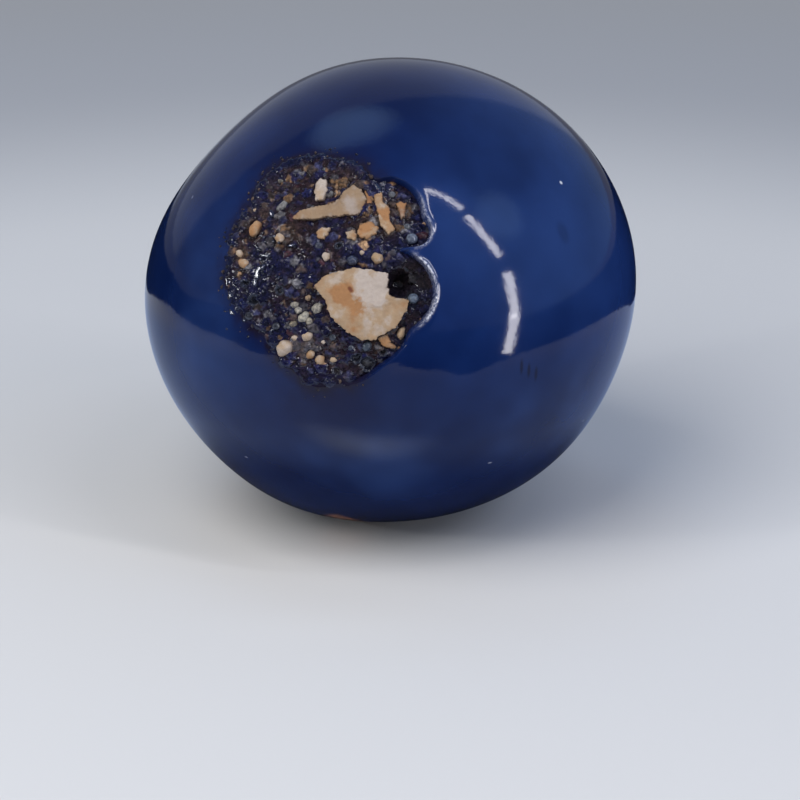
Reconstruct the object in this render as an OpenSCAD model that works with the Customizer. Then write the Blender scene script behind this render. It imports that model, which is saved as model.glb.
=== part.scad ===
// A hand-rolled clay marble: a slightly squat ball of fired clay under a thick, glossy glaze.
// On its front is a kiln scar, where stuck grit tore the glaze away and stayed behind in it.
// Near its foot is the small bare spot on which it stood in the kiln. All of it is fired into one solid.
// +X is to the right, -Y to the front, +Z up, and the origin is the middle of the ball.
// Sizes are in millimetres and turns in degrees: a turn goes from the front to the right,
// and a lift goes from level to the top.

/* [Ball] */
// Width of the ball, side to side
ball_w = 19.1; // [13:0.1:32]
// Depth of the ball, front to back
ball_d = 18.6; // [13:0.1:32]
// Height of the ball
ball_h = 17.8; // [13:0.1:32]
// How deep the slumped side, high on the left, is pressed in
slump_depth = 0.53; // [0:0.01:0.9]
// How far the shoulder, high at the back right, swells out
shoulder_swell = 0.13; // [0:0.01:0.4]
// How far the belly, low at the front left, swells out
belly_swell = 0.17; // [0:0.01:0.4]
// How deep the flank, low on the right, is pressed in
flank_depth = 0.2; // [0:0.01:0.4]

/* [Kiln scar] */
// Turn of the scar's middle
scar_turn = -15; // [-60:1:60]
// Lift of the scar's middle
scar_lift = 23; // [-40:1:50]
// Size of the scar, with its chips and grains, against the one drawn here
scar_scale = 1; // [0.6:0.05:1.2]
// Depth of the scar's floor under the glaze, at its deep right side
scar_depth = 0.4; // [0.1:0.01:0.7]
// Share of that depth which is left at its shallow left side
shallow_share = 0.35; // [0.1:0.05:1]
// Width over which the glaze rounds down into the scar, at its crisp right side
lip_w = 0.3; // [0.1:0.01:0.6]
// Height of the bead of glaze along the lip, at its crisp right side
bead_h = 0.08; // [0:0.01:0.15]
// How far the glaze rounds the notch between two lobes
notch_round = 0.16; // [0.04:0.01:0.3]
// Width over which the glaze thins out into the scar's soft left side
fade_w = 0.75; // [0.2:0.05:1.2]
// Height of the crumbs that the floor is made of
crumb_h = 0.07; // [0:0.01:0.15]
// Radius of the pit beside the main chip
pit_r = 0.5; // [0.2:0.05:0.8]
// Depth of the pit under the floor
pit_depth = 0.55; // [0:0.05:1]

/* [Chips and grit] */
// How far the chips of clay stand over the scar's floor
chip_stand = 0.3; // [0.1:0.01:0.5]
// How far the main chip stands over the scar's floor
main_stand = 0.36; // [0.1:0.01:0.6]
// Chamfer round the chips' upper edges
chip_chamfer = 0.08; // [0.02:0.01:0.15]
// Height of a grain over the floor, as a share of its width
grain_share = 0.5; // [0.2:0.05:0.9]
// Number of places for fine grit over the floor
grit_count = 70; // [1:1:100]
// Width of a crumb of fine grit
grit_w = 0.26; // [0.1:0.01:0.4]

/* [Kiln spot] */
// Turn of the bare spot under the ball
spot_turn = -30; // [-180:1:180]
// Lift of the bare spot
spot_lift = -75; // [-90:1:-60]
// Radius of the bare spot
spot_r = 1.15; // [0.5:0.05:2]
// Depth of the bare spot under the glaze
spot_depth = 0.12; // [0.05:0.01:0.3]
// Height of the rough clay inside the bare spot
spot_rough = 0.05; // [0.02:0.01:0.08]

/* [Hidden] */

spokes = 80; // points round each ring of the ball's skin
bed_rings = 13; // rings on the scar's floor
far_rings = 20; // rings from the lip round to the far side
lip_steps = [-1, -0.65, -0.3, 0.1, 0.5, 1, 2]; // rings across the lip, in widths of the lip
root = 0.25; // how deep a grain is rooted under the floor
chip_root = root + pit_depth; // a chip's root reaches under the pit beside it
root_turn = 5; // how far a chip's root is turned against its face
facets = 7; // sides of a grain

ball_r0 = (ball_w + ball_d + ball_h) / 6; // the scar's lengths are laid off on a sphere of this radius
half_turn = PI * ball_r0; // from the scar's middle to the point opposite

// Swells and slumps of the ball: turn, lift, spread in degrees, and height
swells = [
    [-105, 37, 28, -slump_depth],
    [111, 46, 35, shoulder_swell],
    [-55, -59, 20, belly_swell],
    [83, -19, 22, -flank_depth]
];

// Round bites that make up the scar's outline, each the edge of one lump that tore away: x, y, radius
bites = [
    [-1, 0.2, 3.25], [-0.9, 1.6, 2.85], [-2, 2.7, 1.6], [0.1, -1.9, 2.5],
    [1.7, 2.3, 1.5], [2.85, 1.8, 0.7], [2.4, -0.6, 1.55], [1.6, -1.9, 1.5]
];
pit = [2.6, -0.28];

// Outlines of the clay chips, clockwise, each open to its own middle
main_chip = [
    [-0.45, -0.65], [-0.2, -0.37], [0.42, 0], [1.3, 0.15], [2.1, 0.12], [2.15, -0.55], [2.4, -0.82],
    [2.95, -0.88], [2.8, -1.6], [2.2, -2.15], [1.5, -2.5], [0.75, -2.15], [0.2, -1.7], [0, -1.15], [-0.3, -0.95]
];
chips = [
    [[-1.7, 1.7], [-1.4, 2.1], [-0.3, 2.5], [0.3, 2.6], [0.35, 2.08], [-0.4, 1.9]],
    [[0.1, 2.85], [0.5, 3.5], [0.95, 2.8], [0.85, 2.2], [0.5, 2.1], [0.05, 2.35]],
    [[-1.1, 3.15], [-0.95, 3.45], [-0.7, 3.4], [-0.6, 2.72], [-0.95, 2.6]],
    [[0.9, 3.15], [1.1, 3.3], [1.2, 2.85], [1.1, 2.4], [1.03, 2.8]],
    [[1.27, 2.95], [1.5, 3.1], [1.9, 2.55], [2, 2.05], [2.2, 1.75], [2, 1.5], [1.7, 1.85], [1.4, 2.3]],
    [[2.15, 2.8], [2.3, 2.95], [2.5, 2.5], [2.4, 2.15], [2.2, 2.4]],
    [[0.87, 1.5], [0.92, 1.85], [1.25, 1.95], [1.55, 1.75], [1.5, 1.5], [1.05, 1.25]],
    [[0.35, 1.45], [0.6, 1.6], [0.78, 1.45], [0.8, 1.22], [0.5, 1.2]],
    [[-0.7, 1.3], [-0.55, 1.55], [-0.15, 1.55], [-0.35, 1.05], [-0.65, 1.15]],
    [[1.9, -2.4], [2.25, -2.2], [2.65, -2.65], [2.4, -2.75]]
];

// Grains held in the scar: x, y, length, width, and turn of the length
tan_grains = [
    [-0.2, 0.45, 0.4, 0.36, 0], [1.65, 0.6, 0.5, 0.44, 20], [-1.55, -3, 0.66, 0.6, 30],
    [-0.7, -2.5, 0.42, 0.4, 0], [-0.6, -3.2, 0.4, 0.3, 70], [-0.2, -3.4, 0.42, 0.34, 50],
    [0.3, -3.35, 0.3, 0.26, 0], [-3.15, 1.3, 0.6, 0.46, 70], [-2.1, 1, 0.46, 0.4, 40],
    [-3.7, 0.35, 0.38, 0.34, 0], [-3.4, -0.08, 0.44, 0.42, 0], [-3.3, 2.05, 0.34, 0.28, 45],
    [2.8, -2.15, 0.5, 0.34, 70], [0.85, -4.05, 0.4, 0.3, 0], [-1.15, -2.6, 0.28, 0.26, 0]
];
pale_grains = [
    [-0.85, -1.8, 0.46, 0.34, 55], [-0.35, -1.45, 0.46, 0.36, 20], [-1.2, -1.5, 0.3, 0.26, 0],
    [-1.25, -2.1, 0.3, 0.26, 0], [-2.25, 2.25, 0.5, 0.34, 50]
];
glass_beads = [
    [2.85, 1.5, 0.5, 0.5, 0], [3.15, -0.8, 0.43, 0.43, 0], [1.9, 3.15, 0.3, 0.3, 0],
    [2.65, 1.95, 0.3, 0.3, 0], [0.45, 4, 0.36, 0.34, 0], [-0.85, 3.9, 0.36, 0.32, 0],
    [0.75, 0.4, 0.42, 0.4, 0], [1.6, -3.4, 0.62, 0.6, 0], [1.05, -3.1, 0.46, 0.44, 0]
];

// Direction from the middle of the ball at a turn and a lift
function direction(turn, lift) = [sin(turn) * cos(lift), -cos(turn) * cos(lift), sin(lift)];

// Radius of the ball along direction d: an ellipsoid with soft swells and slumps added to it
function ball_r(d) =
    1 / norm([2 * d.x / ball_w, 2 * d.y / ball_d, 2 * d.z / ball_h])
    + sum([for (s = swells) s[3] * exp(-pow(angle(d, direction(s[0], s[1])) / s[2], 2))]);

function sum(list, i = 0) = i < len(list) ? list[i] + sum(list, i + 1) : 0;
function angle(a, b) = acos(max(-1, min(1, a * b)));
function mean(points) = [sum([for (p = points) p.x]), sum([for (p = points) p.y])] / len(points);
function ease(t) = let (u = max(0, min(1, t))) u * u * (3 - 2 * u);

// The scar is drawn on a flat sheet, x to the right and y up, and laid over the ball from its middle
scar_axis = direction(scar_turn, scar_lift);
scar_x = [cos(scar_turn), sin(scar_turn), 0];
scar_y = cross(scar_axis, scar_x);

function on_sheet(p) =
    let (rho = norm(p), a = rho / ball_r0 * 180 / PI)
    rho < 0.0001 ? scar_axis : cos(a) * scar_axis + sin(a) / rho * (p.x * scar_x + p.y * scar_y);

// Distance from the scar's outline, positive on the glaze and negative in the scar: the bites run
// into each other with a small round, because melted glaze leaves no sharp notch
function outside(p) =
    -notch_round * ln(sum([for (b = bites)
        exp((scar_scale * b[2] - norm(p - scar_scale * [b.x, b.y])) / notch_round)]));

// Length of the ray at angle a from the scar's middle to its outline, and the same eased over a few degrees
function ray(a) = max([for (b = bites)
    let (along = b.x * cos(a) + b.y * sin(a), inside = b[2] * b[2] - b.x * b.x - b.y * b.y + along * along)
    inside > 0 ? scar_scale * (along + sqrt(inside)) : 0]);
function edge(a) = (ray(a - 8) + ray(a - 4) + ray(a) + ray(a + 4) + ray(a + 8)) / 5;

// Height of the scar's plain floor: deep on the right, shallow on the left
function floor_at(p) =
    -scar_depth * (shallow_share + (1 - shallow_share) * ease((p.x / scar_scale + 3.5) / 5.5));

// How crisp the lip is at p: 1 along the two lobes on the right, 0 where the glaze thins out on the left
function crisp(p) = ease((p.x / scar_scale + 0.2) / 1.8);

// Lumps of crumbs: waves along five directions, whose lengths share no common measure
function lumps(p) = sum([for (i = [0 : 4])
    sin((330 + 47 * i) * (p.x * cos(71 * i + 12) + p.y * sin(71 * i + 12)) + 97 * i * i)]) / 3;

// The floor with the crumbs that it is made of, and with the pit
function floor_h(p) =
    floor_at(p) + crumb_h * lumps(p)
    - pit_depth * exp(-pow(norm(p - scar_scale * pit) / pit_r, 2));

// Height over the plain ball: glaze with its bead outside, the lip rounding down, the floor inside
function relief(p) =
    let (d = outside(p), down = ease(-d / (fade_w + (lip_w - fade_w) * crisp(p))))
    bead_h * crisp(p) * exp(-pow((d - 0.3 * lip_w) / lip_w, 2)) * (1 - down) + floor_h(p) * down;

function skin_point(p, h) = let (d = on_sheet(p)) d * (ball_r(d) + h);

// Distance of ring i from the scar's middle, along the ray at angle a: the rings follow the outline
// over the floor and the lip, and become circles on their way to the far side
function ring(i, a) =
    let (lip_from = edge(a) + lip_steps[0] * lip_w,
         lip_to = edge(a) + lip_steps[len(lip_steps) - 1] * lip_w,
         on_lip = i - bed_rings,
         t = (i - bed_rings - len(lip_steps) + 1) / (far_rings + 1))
    i < bed_rings ? lip_from * (i + 1) / (bed_rings + 1)
    : on_lip < len(lip_steps) ? edge(a) + lip_steps[on_lip] * lip_w
    : lip_to + (half_turn - lip_to) * (0.55 * t + 0.45 * t * t);

// The ball's whole skin as one closed surface: rings round the scar's middle, from there to the far side
module glazed_ball() {
    rings = bed_rings + len(lip_steps) + far_rings;
    points = concat(
        [skin_point([0, 0], relief([0, 0]))],
        [for (i = [0 : rings - 1], j = [0 : spokes - 1])
            let (a = j * 360 / spokes, p = ring(i, a) * [cos(a), sin(a)]) skin_point(p, relief(p))],
        [-scar_axis * ball_r(-scar_axis)]
    );
    last = len(points) - 1;
    faces = concat(
        [for (j = [0 : spokes - 1]) [0, 1 + (j + 1) % spokes, 1 + j]],
        [for (i = [0 : rings - 2], j = [0 : spokes - 1])
            let (k = 1 + i * spokes, n = (j + 1) % spokes) [k + j, k + n, k + spokes + n]],
        [for (i = [0 : rings - 2], j = [0 : spokes - 1])
            let (k = 1 + i * spokes, n = (j + 1) % spokes) [k + j, k + spokes + n, k + spokes + j]],
        [for (j = [0 : spokes - 1])
            let (k = 1 + (rings - 1) * spokes) [k + j, k + (j + 1) % spokes, last]]
    );
    color("midnightblue") polyhedron(points, faces);
}

// Puts its children on the ball along direction d, lifted by h, with their z axis square to the ball
// and their x axis close to a given one
module on_ball(d, x_near, h = 0) {
    tiny = 0.001;
    side = cross(d, x_near) / norm(cross(d, x_near));
    along = cross(side, d);
    slope_x = (ball_r(d + tiny * along) - ball_r(d - tiny * along)) / (2 * tiny * ball_r(d));
    slope_y = (ball_r(d + tiny * side) - ball_r(d - tiny * side)) / (2 * tiny * ball_r(d));
    z1 = d - slope_x * along - slope_y * side;
    z = z1 / norm(z1);
    y = cross(z, along) / norm(cross(z, along));
    x = cross(y, z);
    o = d * ball_r(d) + z * h;
    multmatrix([[x.x, y.x, z.x, o.x], [x.y, y.y, z.y, o.y], [x.z, y.z, z.z, o.z], [0, 0, 0, 1]])
        children();
}

// A ring of n corners at height z, each half a side further round than on the ring one step before
module corners(r, z, step, n = facets, tip = 0.01) {
    rotate([0, 0, step * 180 / n])
        translate([0, 0, z])
            cylinder(r1 = r, r2 = 0, h = tip, $fn = n);
}

// A chip of clay that stands out of the floor: rings of its outline from its root, which is turned
// a little, up to its chamfered upper edge, closed over the middle, so that its face follows the ball
module chip(outline, stand) {
    points = scar_scale * outline;
    n = len(points);
    c = mean(points);
    turned = [for (p = points) c + [cos(root_turn) * (p - c).x - sin(root_turn) * (p - c).y,
                                    sin(root_turn) * (p - c).x + cos(root_turn) * (p - c).y]];
    drawn_in = [for (p = points) p - chip_chamfer * (p - c) / norm(p - c)];
    corners = concat(
        [for (p = turned) skin_point(p, floor_at(p) - chip_root)],
        [for (p = points) skin_point(p, floor_at(p) + stand - chip_chamfer)],
        [for (p = drawn_in) skin_point(p, floor_at(p) + stand)],
        [skin_point(c, floor_at(c) - chip_root), skin_point(c, floor_at(c) + stand)]
    );
    faces = concat(
        [for (i = [0 : n - 1]) [(i + 1) % n, i, 3 * n]],
        [for (k = [0, n], i = [0 : n - 1]) [k + i, k + (i + 1) % n, k + n + (i + 1) % n, k + n + i]],
        [for (i = [0 : n - 1]) [2 * n + i, 2 * n + (i + 1) % n, 3 * n + 1]]
    );
    polyhedron(corners, faces);
}

module clay_chips() {
    color("wheat")
        chip(main_chip, main_stand);
    color("burlywood")
        for (outline = chips) chip(outline, chip_stand);
}

// A rounded grain: a ring at its root, its widest ring over the floor, and a smaller one on top
module grain(g) {
    p = scar_scale * [g.x, g.y];
    stand = grain_share * g[3];
    on_ball(on_sheet(p), scar_x, floor_at(p))
        rotate([0, 0, g[4]])
            scale([scar_scale * g[2], scar_scale * g[3], 1])
                hull() {
                    corners(0.32, -root, 0);
                    corners(0.5, 0.3 * stand, 1);
                    corners(0.3, 0.85 * stand, 2, tip = 0.15 * stand);
                }
}

module grains(list) {
    for (g = list) grain(g);
}

// Room round p before it meets a chip or a grain, or the lip
function reach(outline) = max([for (p = outline) norm(p - mean(outline))]);
function room(p) = min(concat(
    [-outside(scar_scale * p) / scar_scale - lip_w],
    [for (c = concat([main_chip], chips)) norm(p - mean(c)) - reach(c)],
    [for (g = concat(tan_grains, pale_grains, glass_beads)) norm(p - [g.x, g.y]) - g[2] / 2]
));

// Fine grit in a sunflower spiral over the floor, wherever there is room for it
module grit() {
    for (i = [1 : grit_count]) {
        p = 4.4 * sqrt(i / grit_count) * [cos(137.5 * i), sin(137.5 * i)];
        if (room(p) > grit_w * 0.7)
            grain([p.x, p.y, grit_w * (1 + 0.3 * sin(77 * i)), grit_w, 50 * i]);
    }
}

// The hollow that the kiln shelf left in the glaze
module spot_hollow() {
    on_ball(direction(spot_turn, spot_lift), [1, 0, 0], -spot_depth)
        hull() {
            corners(spot_r, 0, 0, 32);
            corners(spot_r + 4 * spot_depth, 4 * spot_depth, 1, 32);
        }
}

// Bare clay in that hollow, as a few low mounds
module spot_clay() {
    mounds = 7;
    on_ball(direction(spot_turn, spot_lift), [1, 0, 0], -spot_depth)
        for (i = [1 : mounds])
            rotate([0, 0, 137.5 * i])
                translate([0.75 * spot_r * sqrt((i - 1) / mounds), 0, 0])
                    hull() {
                        corners(0.24 * spot_r, -root, 0);
                        corners(0.14 * spot_r, spot_rough, 1);
                    }
}

module marble() {
    difference() {
        glazed_ball();
        spot_hollow();
    }
    clay_chips();
    color("tan") grains(tan_grains);
    color("gainsboro") grains(pale_grains);
    color("slategray") grains(glass_beads);
    color("darkslategray") grit();
    color("sienna") spot_clay();
}

marble();
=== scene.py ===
import bpy
import numpy as np
from mathutils import Matrix, Vector


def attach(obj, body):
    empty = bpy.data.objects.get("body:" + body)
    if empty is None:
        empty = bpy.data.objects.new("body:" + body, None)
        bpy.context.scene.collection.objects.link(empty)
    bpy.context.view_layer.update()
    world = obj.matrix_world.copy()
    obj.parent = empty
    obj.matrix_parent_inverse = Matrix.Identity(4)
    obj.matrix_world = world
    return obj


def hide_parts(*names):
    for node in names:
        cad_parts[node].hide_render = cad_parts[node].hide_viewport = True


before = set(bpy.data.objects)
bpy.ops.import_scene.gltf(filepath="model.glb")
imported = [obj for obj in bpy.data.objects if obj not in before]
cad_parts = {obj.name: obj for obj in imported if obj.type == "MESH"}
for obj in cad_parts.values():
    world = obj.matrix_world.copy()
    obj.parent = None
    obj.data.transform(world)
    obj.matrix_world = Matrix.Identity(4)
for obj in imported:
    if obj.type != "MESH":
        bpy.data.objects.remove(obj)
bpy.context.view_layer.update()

mm = 0.001

ball = {
    "width": 19.1, "depth": 18.6, "height": 17.8,
    # soft swells and slumps: turn, lift, spread in degrees, height
    "swells": [(-105, 37, 28, -0.53), (111, 46, 35, 0.13), (-55, -59, 20, 0.17), (83, -19, 22, -0.2)],
    "skinUnder": 0.014,  # the looks stay this far under the model's own skin
}

scar = {
    "turn": -15, "lift": 23,
    "notchRound": 0.12,                   # how far the notch between two lobes is rounded
    "depth": 0.4, "shallowShare": 0.35,   # floor at its deep right side, share of that on the left
    # round bites that make up its outline: x, y, radius
    "bites": [(-1, 0.2, 3.25), (-0.9, 1.6, 2.85), (-2, 2.7, 1.6), (0.1, -1.9, 2.5),
              (1.7, 2.3, 1.5), (2.95, 1.75, 0.62), (2.4, -0.6, 1.55), (1.6, -1.9, 1.5)],
    # the glaze has a crisp lip with a bead on the right, and thins out unevenly on the left
    "lipWidth": 0.24, "beadWidth": 0.2, "beadAt": -0.07,
    "beadHeight": 0.078, "upperBead": 0.045,   # of the lower lobe, and of the upper one
    "beadFades": [(2.7, 0.98, 0.42), (2.3, 3.3, 0.8), (2.5, -2.8, 1.0)],   # where it sinks away: x, y, reach
    "softTo": 0.7, "crispOver": 1.4, "softWidth": 0.55, "softDepth": 0.16, "uneven": 0.17,
    "pit": (2.6, -0.28), "pitRadius": 0.52, "pitDepth": 0.6,
}

spot = {
    "turn": -30, "lift": -75, "radius": 1.15, "depth": 0.12, "rough": 0.05,
    # the glaze is thin and brown in a tongue up from the spot: turn and lift of its end, half its width
    "stain": (-25, -60.5, 0.95),
}


# The camera, and where the middle of the ball stands in its square frame, from the left and the top
eye = {"lift": 19, "away": 120, "lens": 139.5, "film": 36, "across": 800, "middle": (390.5, 289.5)}

# Places on the ball are given as they are read off that frame, or an enlarged view of it:
# the view's left, top and enlargement
views = {"whole": (0, 0, 1), "scar": (200, 130, 5.6), "chip": (310, 180, 9.5)}


# Eases 0..1: 3t^2 - 2t^3, flat at both ends
def ease(t):
    t = np.clip(t, 0, 1)
    return t * t * (3 - 2 * t)


# A direction from a turn and a lift: (sin t cos l, -cos t cos l, sin l)
def direction(turn, lift):
    t, l = np.radians(turn), np.radians(lift)
    return np.array([np.sin(t) * np.cos(l), -np.cos(t) * np.cos(l), np.sin(l)])


# Vectors made one long
def unit(v):
    return v / np.linalg.norm(v, axis=-1, keepdims=True)


# Angles in degrees between unit directions and a turn and lift
def angleFrom(d, turn, lift):
    return np.degrees(np.arccos(np.clip(d @ direction(turn, lift), -1, 1)))


# Radius of the ball along unit directions: 1 / |(2x/width, 2y/depth, 2z/height)|,
# plus a bell curve of the angle from each swell
def ballRadius(d):
    radius = 1 / np.linalg.norm(2 * d / [ball["width"], ball["depth"], ball["height"]], axis=-1)
    for turn, lift, spread, height in ball["swells"]:
        radius = radius + height * np.exp(-(angleFrom(d, turn, lift) / spread) ** 2)
    return radius - ball["skinUnder"]


meanRadius = (ball["width"] + ball["depth"] + ball["height"]) / 6


# A flat sheet laid over the ball from one point: its axis, and the ways x and y run there
def makeSheet(turn, lift):
    axis, x = direction(turn, lift), direction(turn + 90, 0)
    return axis, x, np.cross(axis, x)


# Directions of sheet points: the sheet's axis turned by |(x, y)| / mean radius towards (x, y)
def onSheet(sheet, x, y):
    axis, xWay, yWay = sheet
    rho = np.maximum(np.hypot(x, y), 1e-9)
    a = rho / meanRadius
    return (np.cos(a)[..., None] * axis
            + (np.sin(a) * x / rho)[..., None] * xWay + (np.sin(a) * y / rho)[..., None] * yWay)


# Points at height h over the ball, at sheet places (x, y), in metres
def lay(sheet, x, y, h):
    x, y, h = np.broadcast_arrays(np.asarray(x, float), y, h)
    d = onSheet(sheet, x, y)
    return d * ((ballRadius(d) + h) * mm)[..., None]


eyePlace = direction(0, eye["lift"]) * eye["away"]
viewRight, viewUp = direction(90, 0), direction(180, 90 - eye["lift"])
perMm = eye["lens"] / eye["film"] * eye["across"] / eye["away"]   # steps of the frame to a millimetre


# Directions in which the ball is seen at places (u, v) of a view: from the eye along the ray through
# the place on the plane of the ball's middle, on by 0.7 of the height over the ball again and again
def seenAt(places, view):
    left, top, enlarged = views[view]
    u, v = (np.array(places, float) / enlarged + [left, top] - eye["middle"]).T[..., None]
    ray = unit((u * viewRight - v * viewUp) / perMm - eyePlace)
    along = np.full((len(ray), 1), eye["away"] - ball["width"] / 2)
    for step in range(60):
        point = eyePlace + along * ray
        far = np.linalg.norm(point, axis=1, keepdims=True)
        along = along + 0.7 * (far - ballRadius(point / far)[:, None])
    return point / far


# The scar's sheet places (x, y) of places in a view: the angle from the sheet's axis times the mean
# radius, laid off the way that the direction leans
def placesAt(places, view="scar"):
    d = seenAt(places, view)
    axis, xWay, yWay = scarSheet
    reach = np.arccos(np.clip(d @ axis, -1, 1)) * meanRadius
    return [tuple(place) for place in unit(np.stack([d @ xWay, d @ yWay], -1)) * reach[:, None]]


def at(u, v, view="scar"):
    return placesAt([(u, v)], view)[0]


# Rows that begin with a place in the scar's view, with its sheet place in its stead
def rowsAt(rows):
    return [(*at(u, v), *rest) for u, v, *rest in rows]


# Turn and lift of the place seen at (u, v) of the frame
def turnAt(u, v):
    x, y, z = seenAt([(u, v)], "whole")[0]
    return np.degrees(np.arctan2(x, -y)), np.degrees(np.arcsin(z))


# Smooth noise from about -1 to 1: random values on a lattice of one unit, blended by eased shares
def noise(x, y, seed):
    values = np.random.default_rng(seed).uniform(-1, 1, (64, 64))
    i, j = np.floor(x).astype(int), np.floor(y).astype(int)
    u, v = ease(x - i), ease(y - j)

    def corner(a, b):
        return values[(i + a) % 64, (j + b) % 64]
    near, far = (corner(0, b) * (1 - u) + corner(1, b) * u for b in (0, 1))
    return near * (1 - v) + far * v


# The same in layers, each twice as fine and half as high as the one before
def layeredNoise(x, y, seed, layers=4):
    return sum(noise(x * 2 ** k, y * 2 ** k, seed + k) / 2 ** k for k in range(layers))


# Share of a crisp lip: none on the left of the scar, full on its right
def lipShare(x):
    return ease((x - scar["softTo"]) / scar["crispOver"])


# Share of the bead: none at the places where it sinks away, by a bell curve round each
def beadShare(x, y):
    share = 1
    for fadeX, fadeY, reach in scar["beadFades"]:
        share = share * (1 - np.exp(-(np.hypot(x - fadeX, y - fadeY) / reach) ** 2))
    return share


# Distance of places on the ball, given as directions, from the tongue of thin brown glaze: the angle
# to the nearest place on the line from the spot's middle to the tongue's end, times the mean radius,
# made uneven by a noise
def tongueAway(d):
    turn, lift, reach = spot["stain"]
    start = np.array(direction(spot["turn"], spot["lift"]))
    line = np.array(direction(turn, lift)) - start
    along = np.clip((d - start) @ line / (line @ line), 0, 1)
    near = unit(start + along[..., None] * line)
    away = np.arccos(np.clip(np.sum(d * near, axis=-1), -1, 1)) * meanRadius
    return away + 0.4 * reach * noise(d[..., 0] * 9 + 4, d[..., 1] * 9 + 4, 91)


# Distance outside the scar's outline: -k log(sum(exp((r - |p - b|) / k))) over the bites, a least
# distance with rounded notches, made uneven by two noises where the lip isn't crisp
def outside(x, y):
    k = scar["notchRound"]
    within = [(r - np.hypot(x - bx, y - by)) / k for bx, by, r in scar["bites"]]
    plain = -k * np.log(sum(np.exp(np.clip(depth, -60, 60)) for depth in within))
    uneven = noise(x * 1.5 + 20, y * 1.5 + 20, 3) + 0.6 * noise(x * 4.5 + 9, y * 4.5 + 9, 4)
    return plain + (1 - lipShare(x)) * (scar["uneven"] * uneven + 0.05)


# Height of the scar's plain floor: deep on the right, shallow on the left
def floorHeight(x):
    share = scar["shallowShare"]
    return -scar["depth"] * (share + (1 - share) * ease((x + 3.5) / 5.5))


scarSheet = makeSheet(scar["turn"], scar["lift"])
spotSheet = makeSheet(spot["turn"], spot["lift"])


# A mesh piece from points and faces, with smooth shading and named values at its points
def makePiece(name, points, faces, material, values={}):
    mesh = bpy.data.meshes.new(name)
    points = np.asarray(points, np.float32).reshape(-1, 3)
    quads = np.concatenate([np.ravel(f) for f in faces])
    sizes = np.concatenate([np.full(len(f), f.shape[1]) for f in faces])
    mesh.vertices.add(len(points))
    mesh.vertices.foreach_set("co", points.ravel())
    mesh.loops.add(len(quads))
    mesh.loops.foreach_set("vertex_index", quads.astype(np.int32))
    mesh.polygons.add(len(sizes))
    starts = np.concatenate([[0], np.cumsum(sizes)[:-1]])
    mesh.polygons.foreach_set("loop_start", starts.astype(np.int32))
    mesh.polygons.foreach_set("use_smooth", np.ones(len(sizes), bool))
    mesh.update(calc_edges=True)
    mesh.validate()
    for key, value in values.items():
        value = np.asarray(value, np.float32).reshape(len(points), -1)
        if value.shape[1] == 3:
            layer = mesh.attributes.new(key, "FLOAT_COLOR", "POINT")
            opaque = np.hstack([value, np.ones((len(points), 1))])
            layer.data.foreach_set("color", opaque.astype(np.float32).ravel())
        else:
            mesh.attributes.new(key, "FLOAT", "POINT").data.foreach_set("value", value.ravel())
    mesh.materials.append(material)
    piece = bpy.data.objects.new(name, mesh)
    bpy.context.scene.collection.objects.link(piece)
    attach(piece, "root")
    print(name, len(points), "points", int((sizes - 2).sum()), "triangles")
    return piece


# Faces of closed solids made of rings, top ring first, each solid closed by a point on top and
# one underneath. Points of a solid: top, its rings row by row, bottom.
def ringFaces(solids, rings, spokes):
    j = np.arange(spokes)
    n = (j + 1) % spokes
    k = 1 + spokes * np.arange(rings - 1)[:, None]
    quads = np.stack([k + j, k + spokes + j, k + spokes + n, k + n], -1).reshape(-1, 4)
    last = 1 + spokes * (rings - 1)
    top = np.stack([0 * j, 1 + j, 1 + n], -1)
    bottom = np.stack([0 * j + last + spokes, last + n, last + j], -1)
    shift = (np.arange(solids) * (rings * spokes + 2))[:, None, None]
    return [(quads + shift).reshape(-1, 4), (top + shift).reshape(-1, 3), (bottom + shift).reshape(-1, 3)]


# Stacks top points, rings and bottom points of solids into the order that ringFaces counts in
def stackRings(top, rings, bottom):
    solids = rings.shape[0]
    return np.concatenate([top.reshape(solids, 1, -1), rings.reshape(solids, -1, rings.shape[-1]),
                           bottom.reshape(solids, 1, -1)], 1)


def shaderNode(tree, kind, settings={}, inputs={}):
    node = tree.nodes.new("ShaderNode" + kind)
    for key, value in settings.items():
        setattr(node, key, value)
    for key, value in inputs.items():
        if isinstance(value, bpy.types.NodeSocket):
            tree.links.new(value, node.inputs[key])
        else:
            node.inputs[key].default_value = value
    return node


def colour(rgb):
    return (*rgb, 1)


# A new material with its tree cleared to one shader, whose fixed sockets are set directly
def newMaterial(name, **sockets):
    material = bpy.data.materials.new(name)
    material.use_nodes = True
    tree = material.node_tree
    shader = tree.nodes["Principled BSDF"]
    for key, value in sockets.items():
        shader.inputs[key].default_value = value
    return material, tree, shader


def objectPlace(tree):
    return shaderNode(tree, "TexCoord").outputs["Object"]


def noiseNode(tree, place, size, detail=2, rough=0.5, out="Fac"):
    return shaderNode(tree, "TexNoise", {}, {"Vector": place, "Scale": 1 / (size * mm), "Detail": detail,
                                             "Roughness": rough}).outputs[out]


def rangeNode(tree, value, low, high, toLow=0, toHigh=1):
    ends = {"From Min": low, "From Max": high, "To Min": toLow, "To Max": toHigh}
    eased = {"interpolation_type": "SMOOTHSTEP"}
    return shaderNode(tree, "MapRange", eased, {"Value": value, **ends}).outputs[0]


def mixColour(tree, share, a, b, kind="MIX"):
    node = shaderNode(tree, "Mix", {"data_type": "RGBA", "blend_type": kind}, {"Factor": share})
    for socket, value in ((node.inputs[6], a), (node.inputs[7], b)):
        if isinstance(value, bpy.types.NodeSocket):
            tree.links.new(value, socket)
        else:
            socket.default_value = colour(value)
    return node.outputs[2]


def mathNode(tree, operation, a, b=0):
    return shaderNode(tree, "Math", {"operation": operation}, {0: a, 1: b}).outputs[0]


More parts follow.
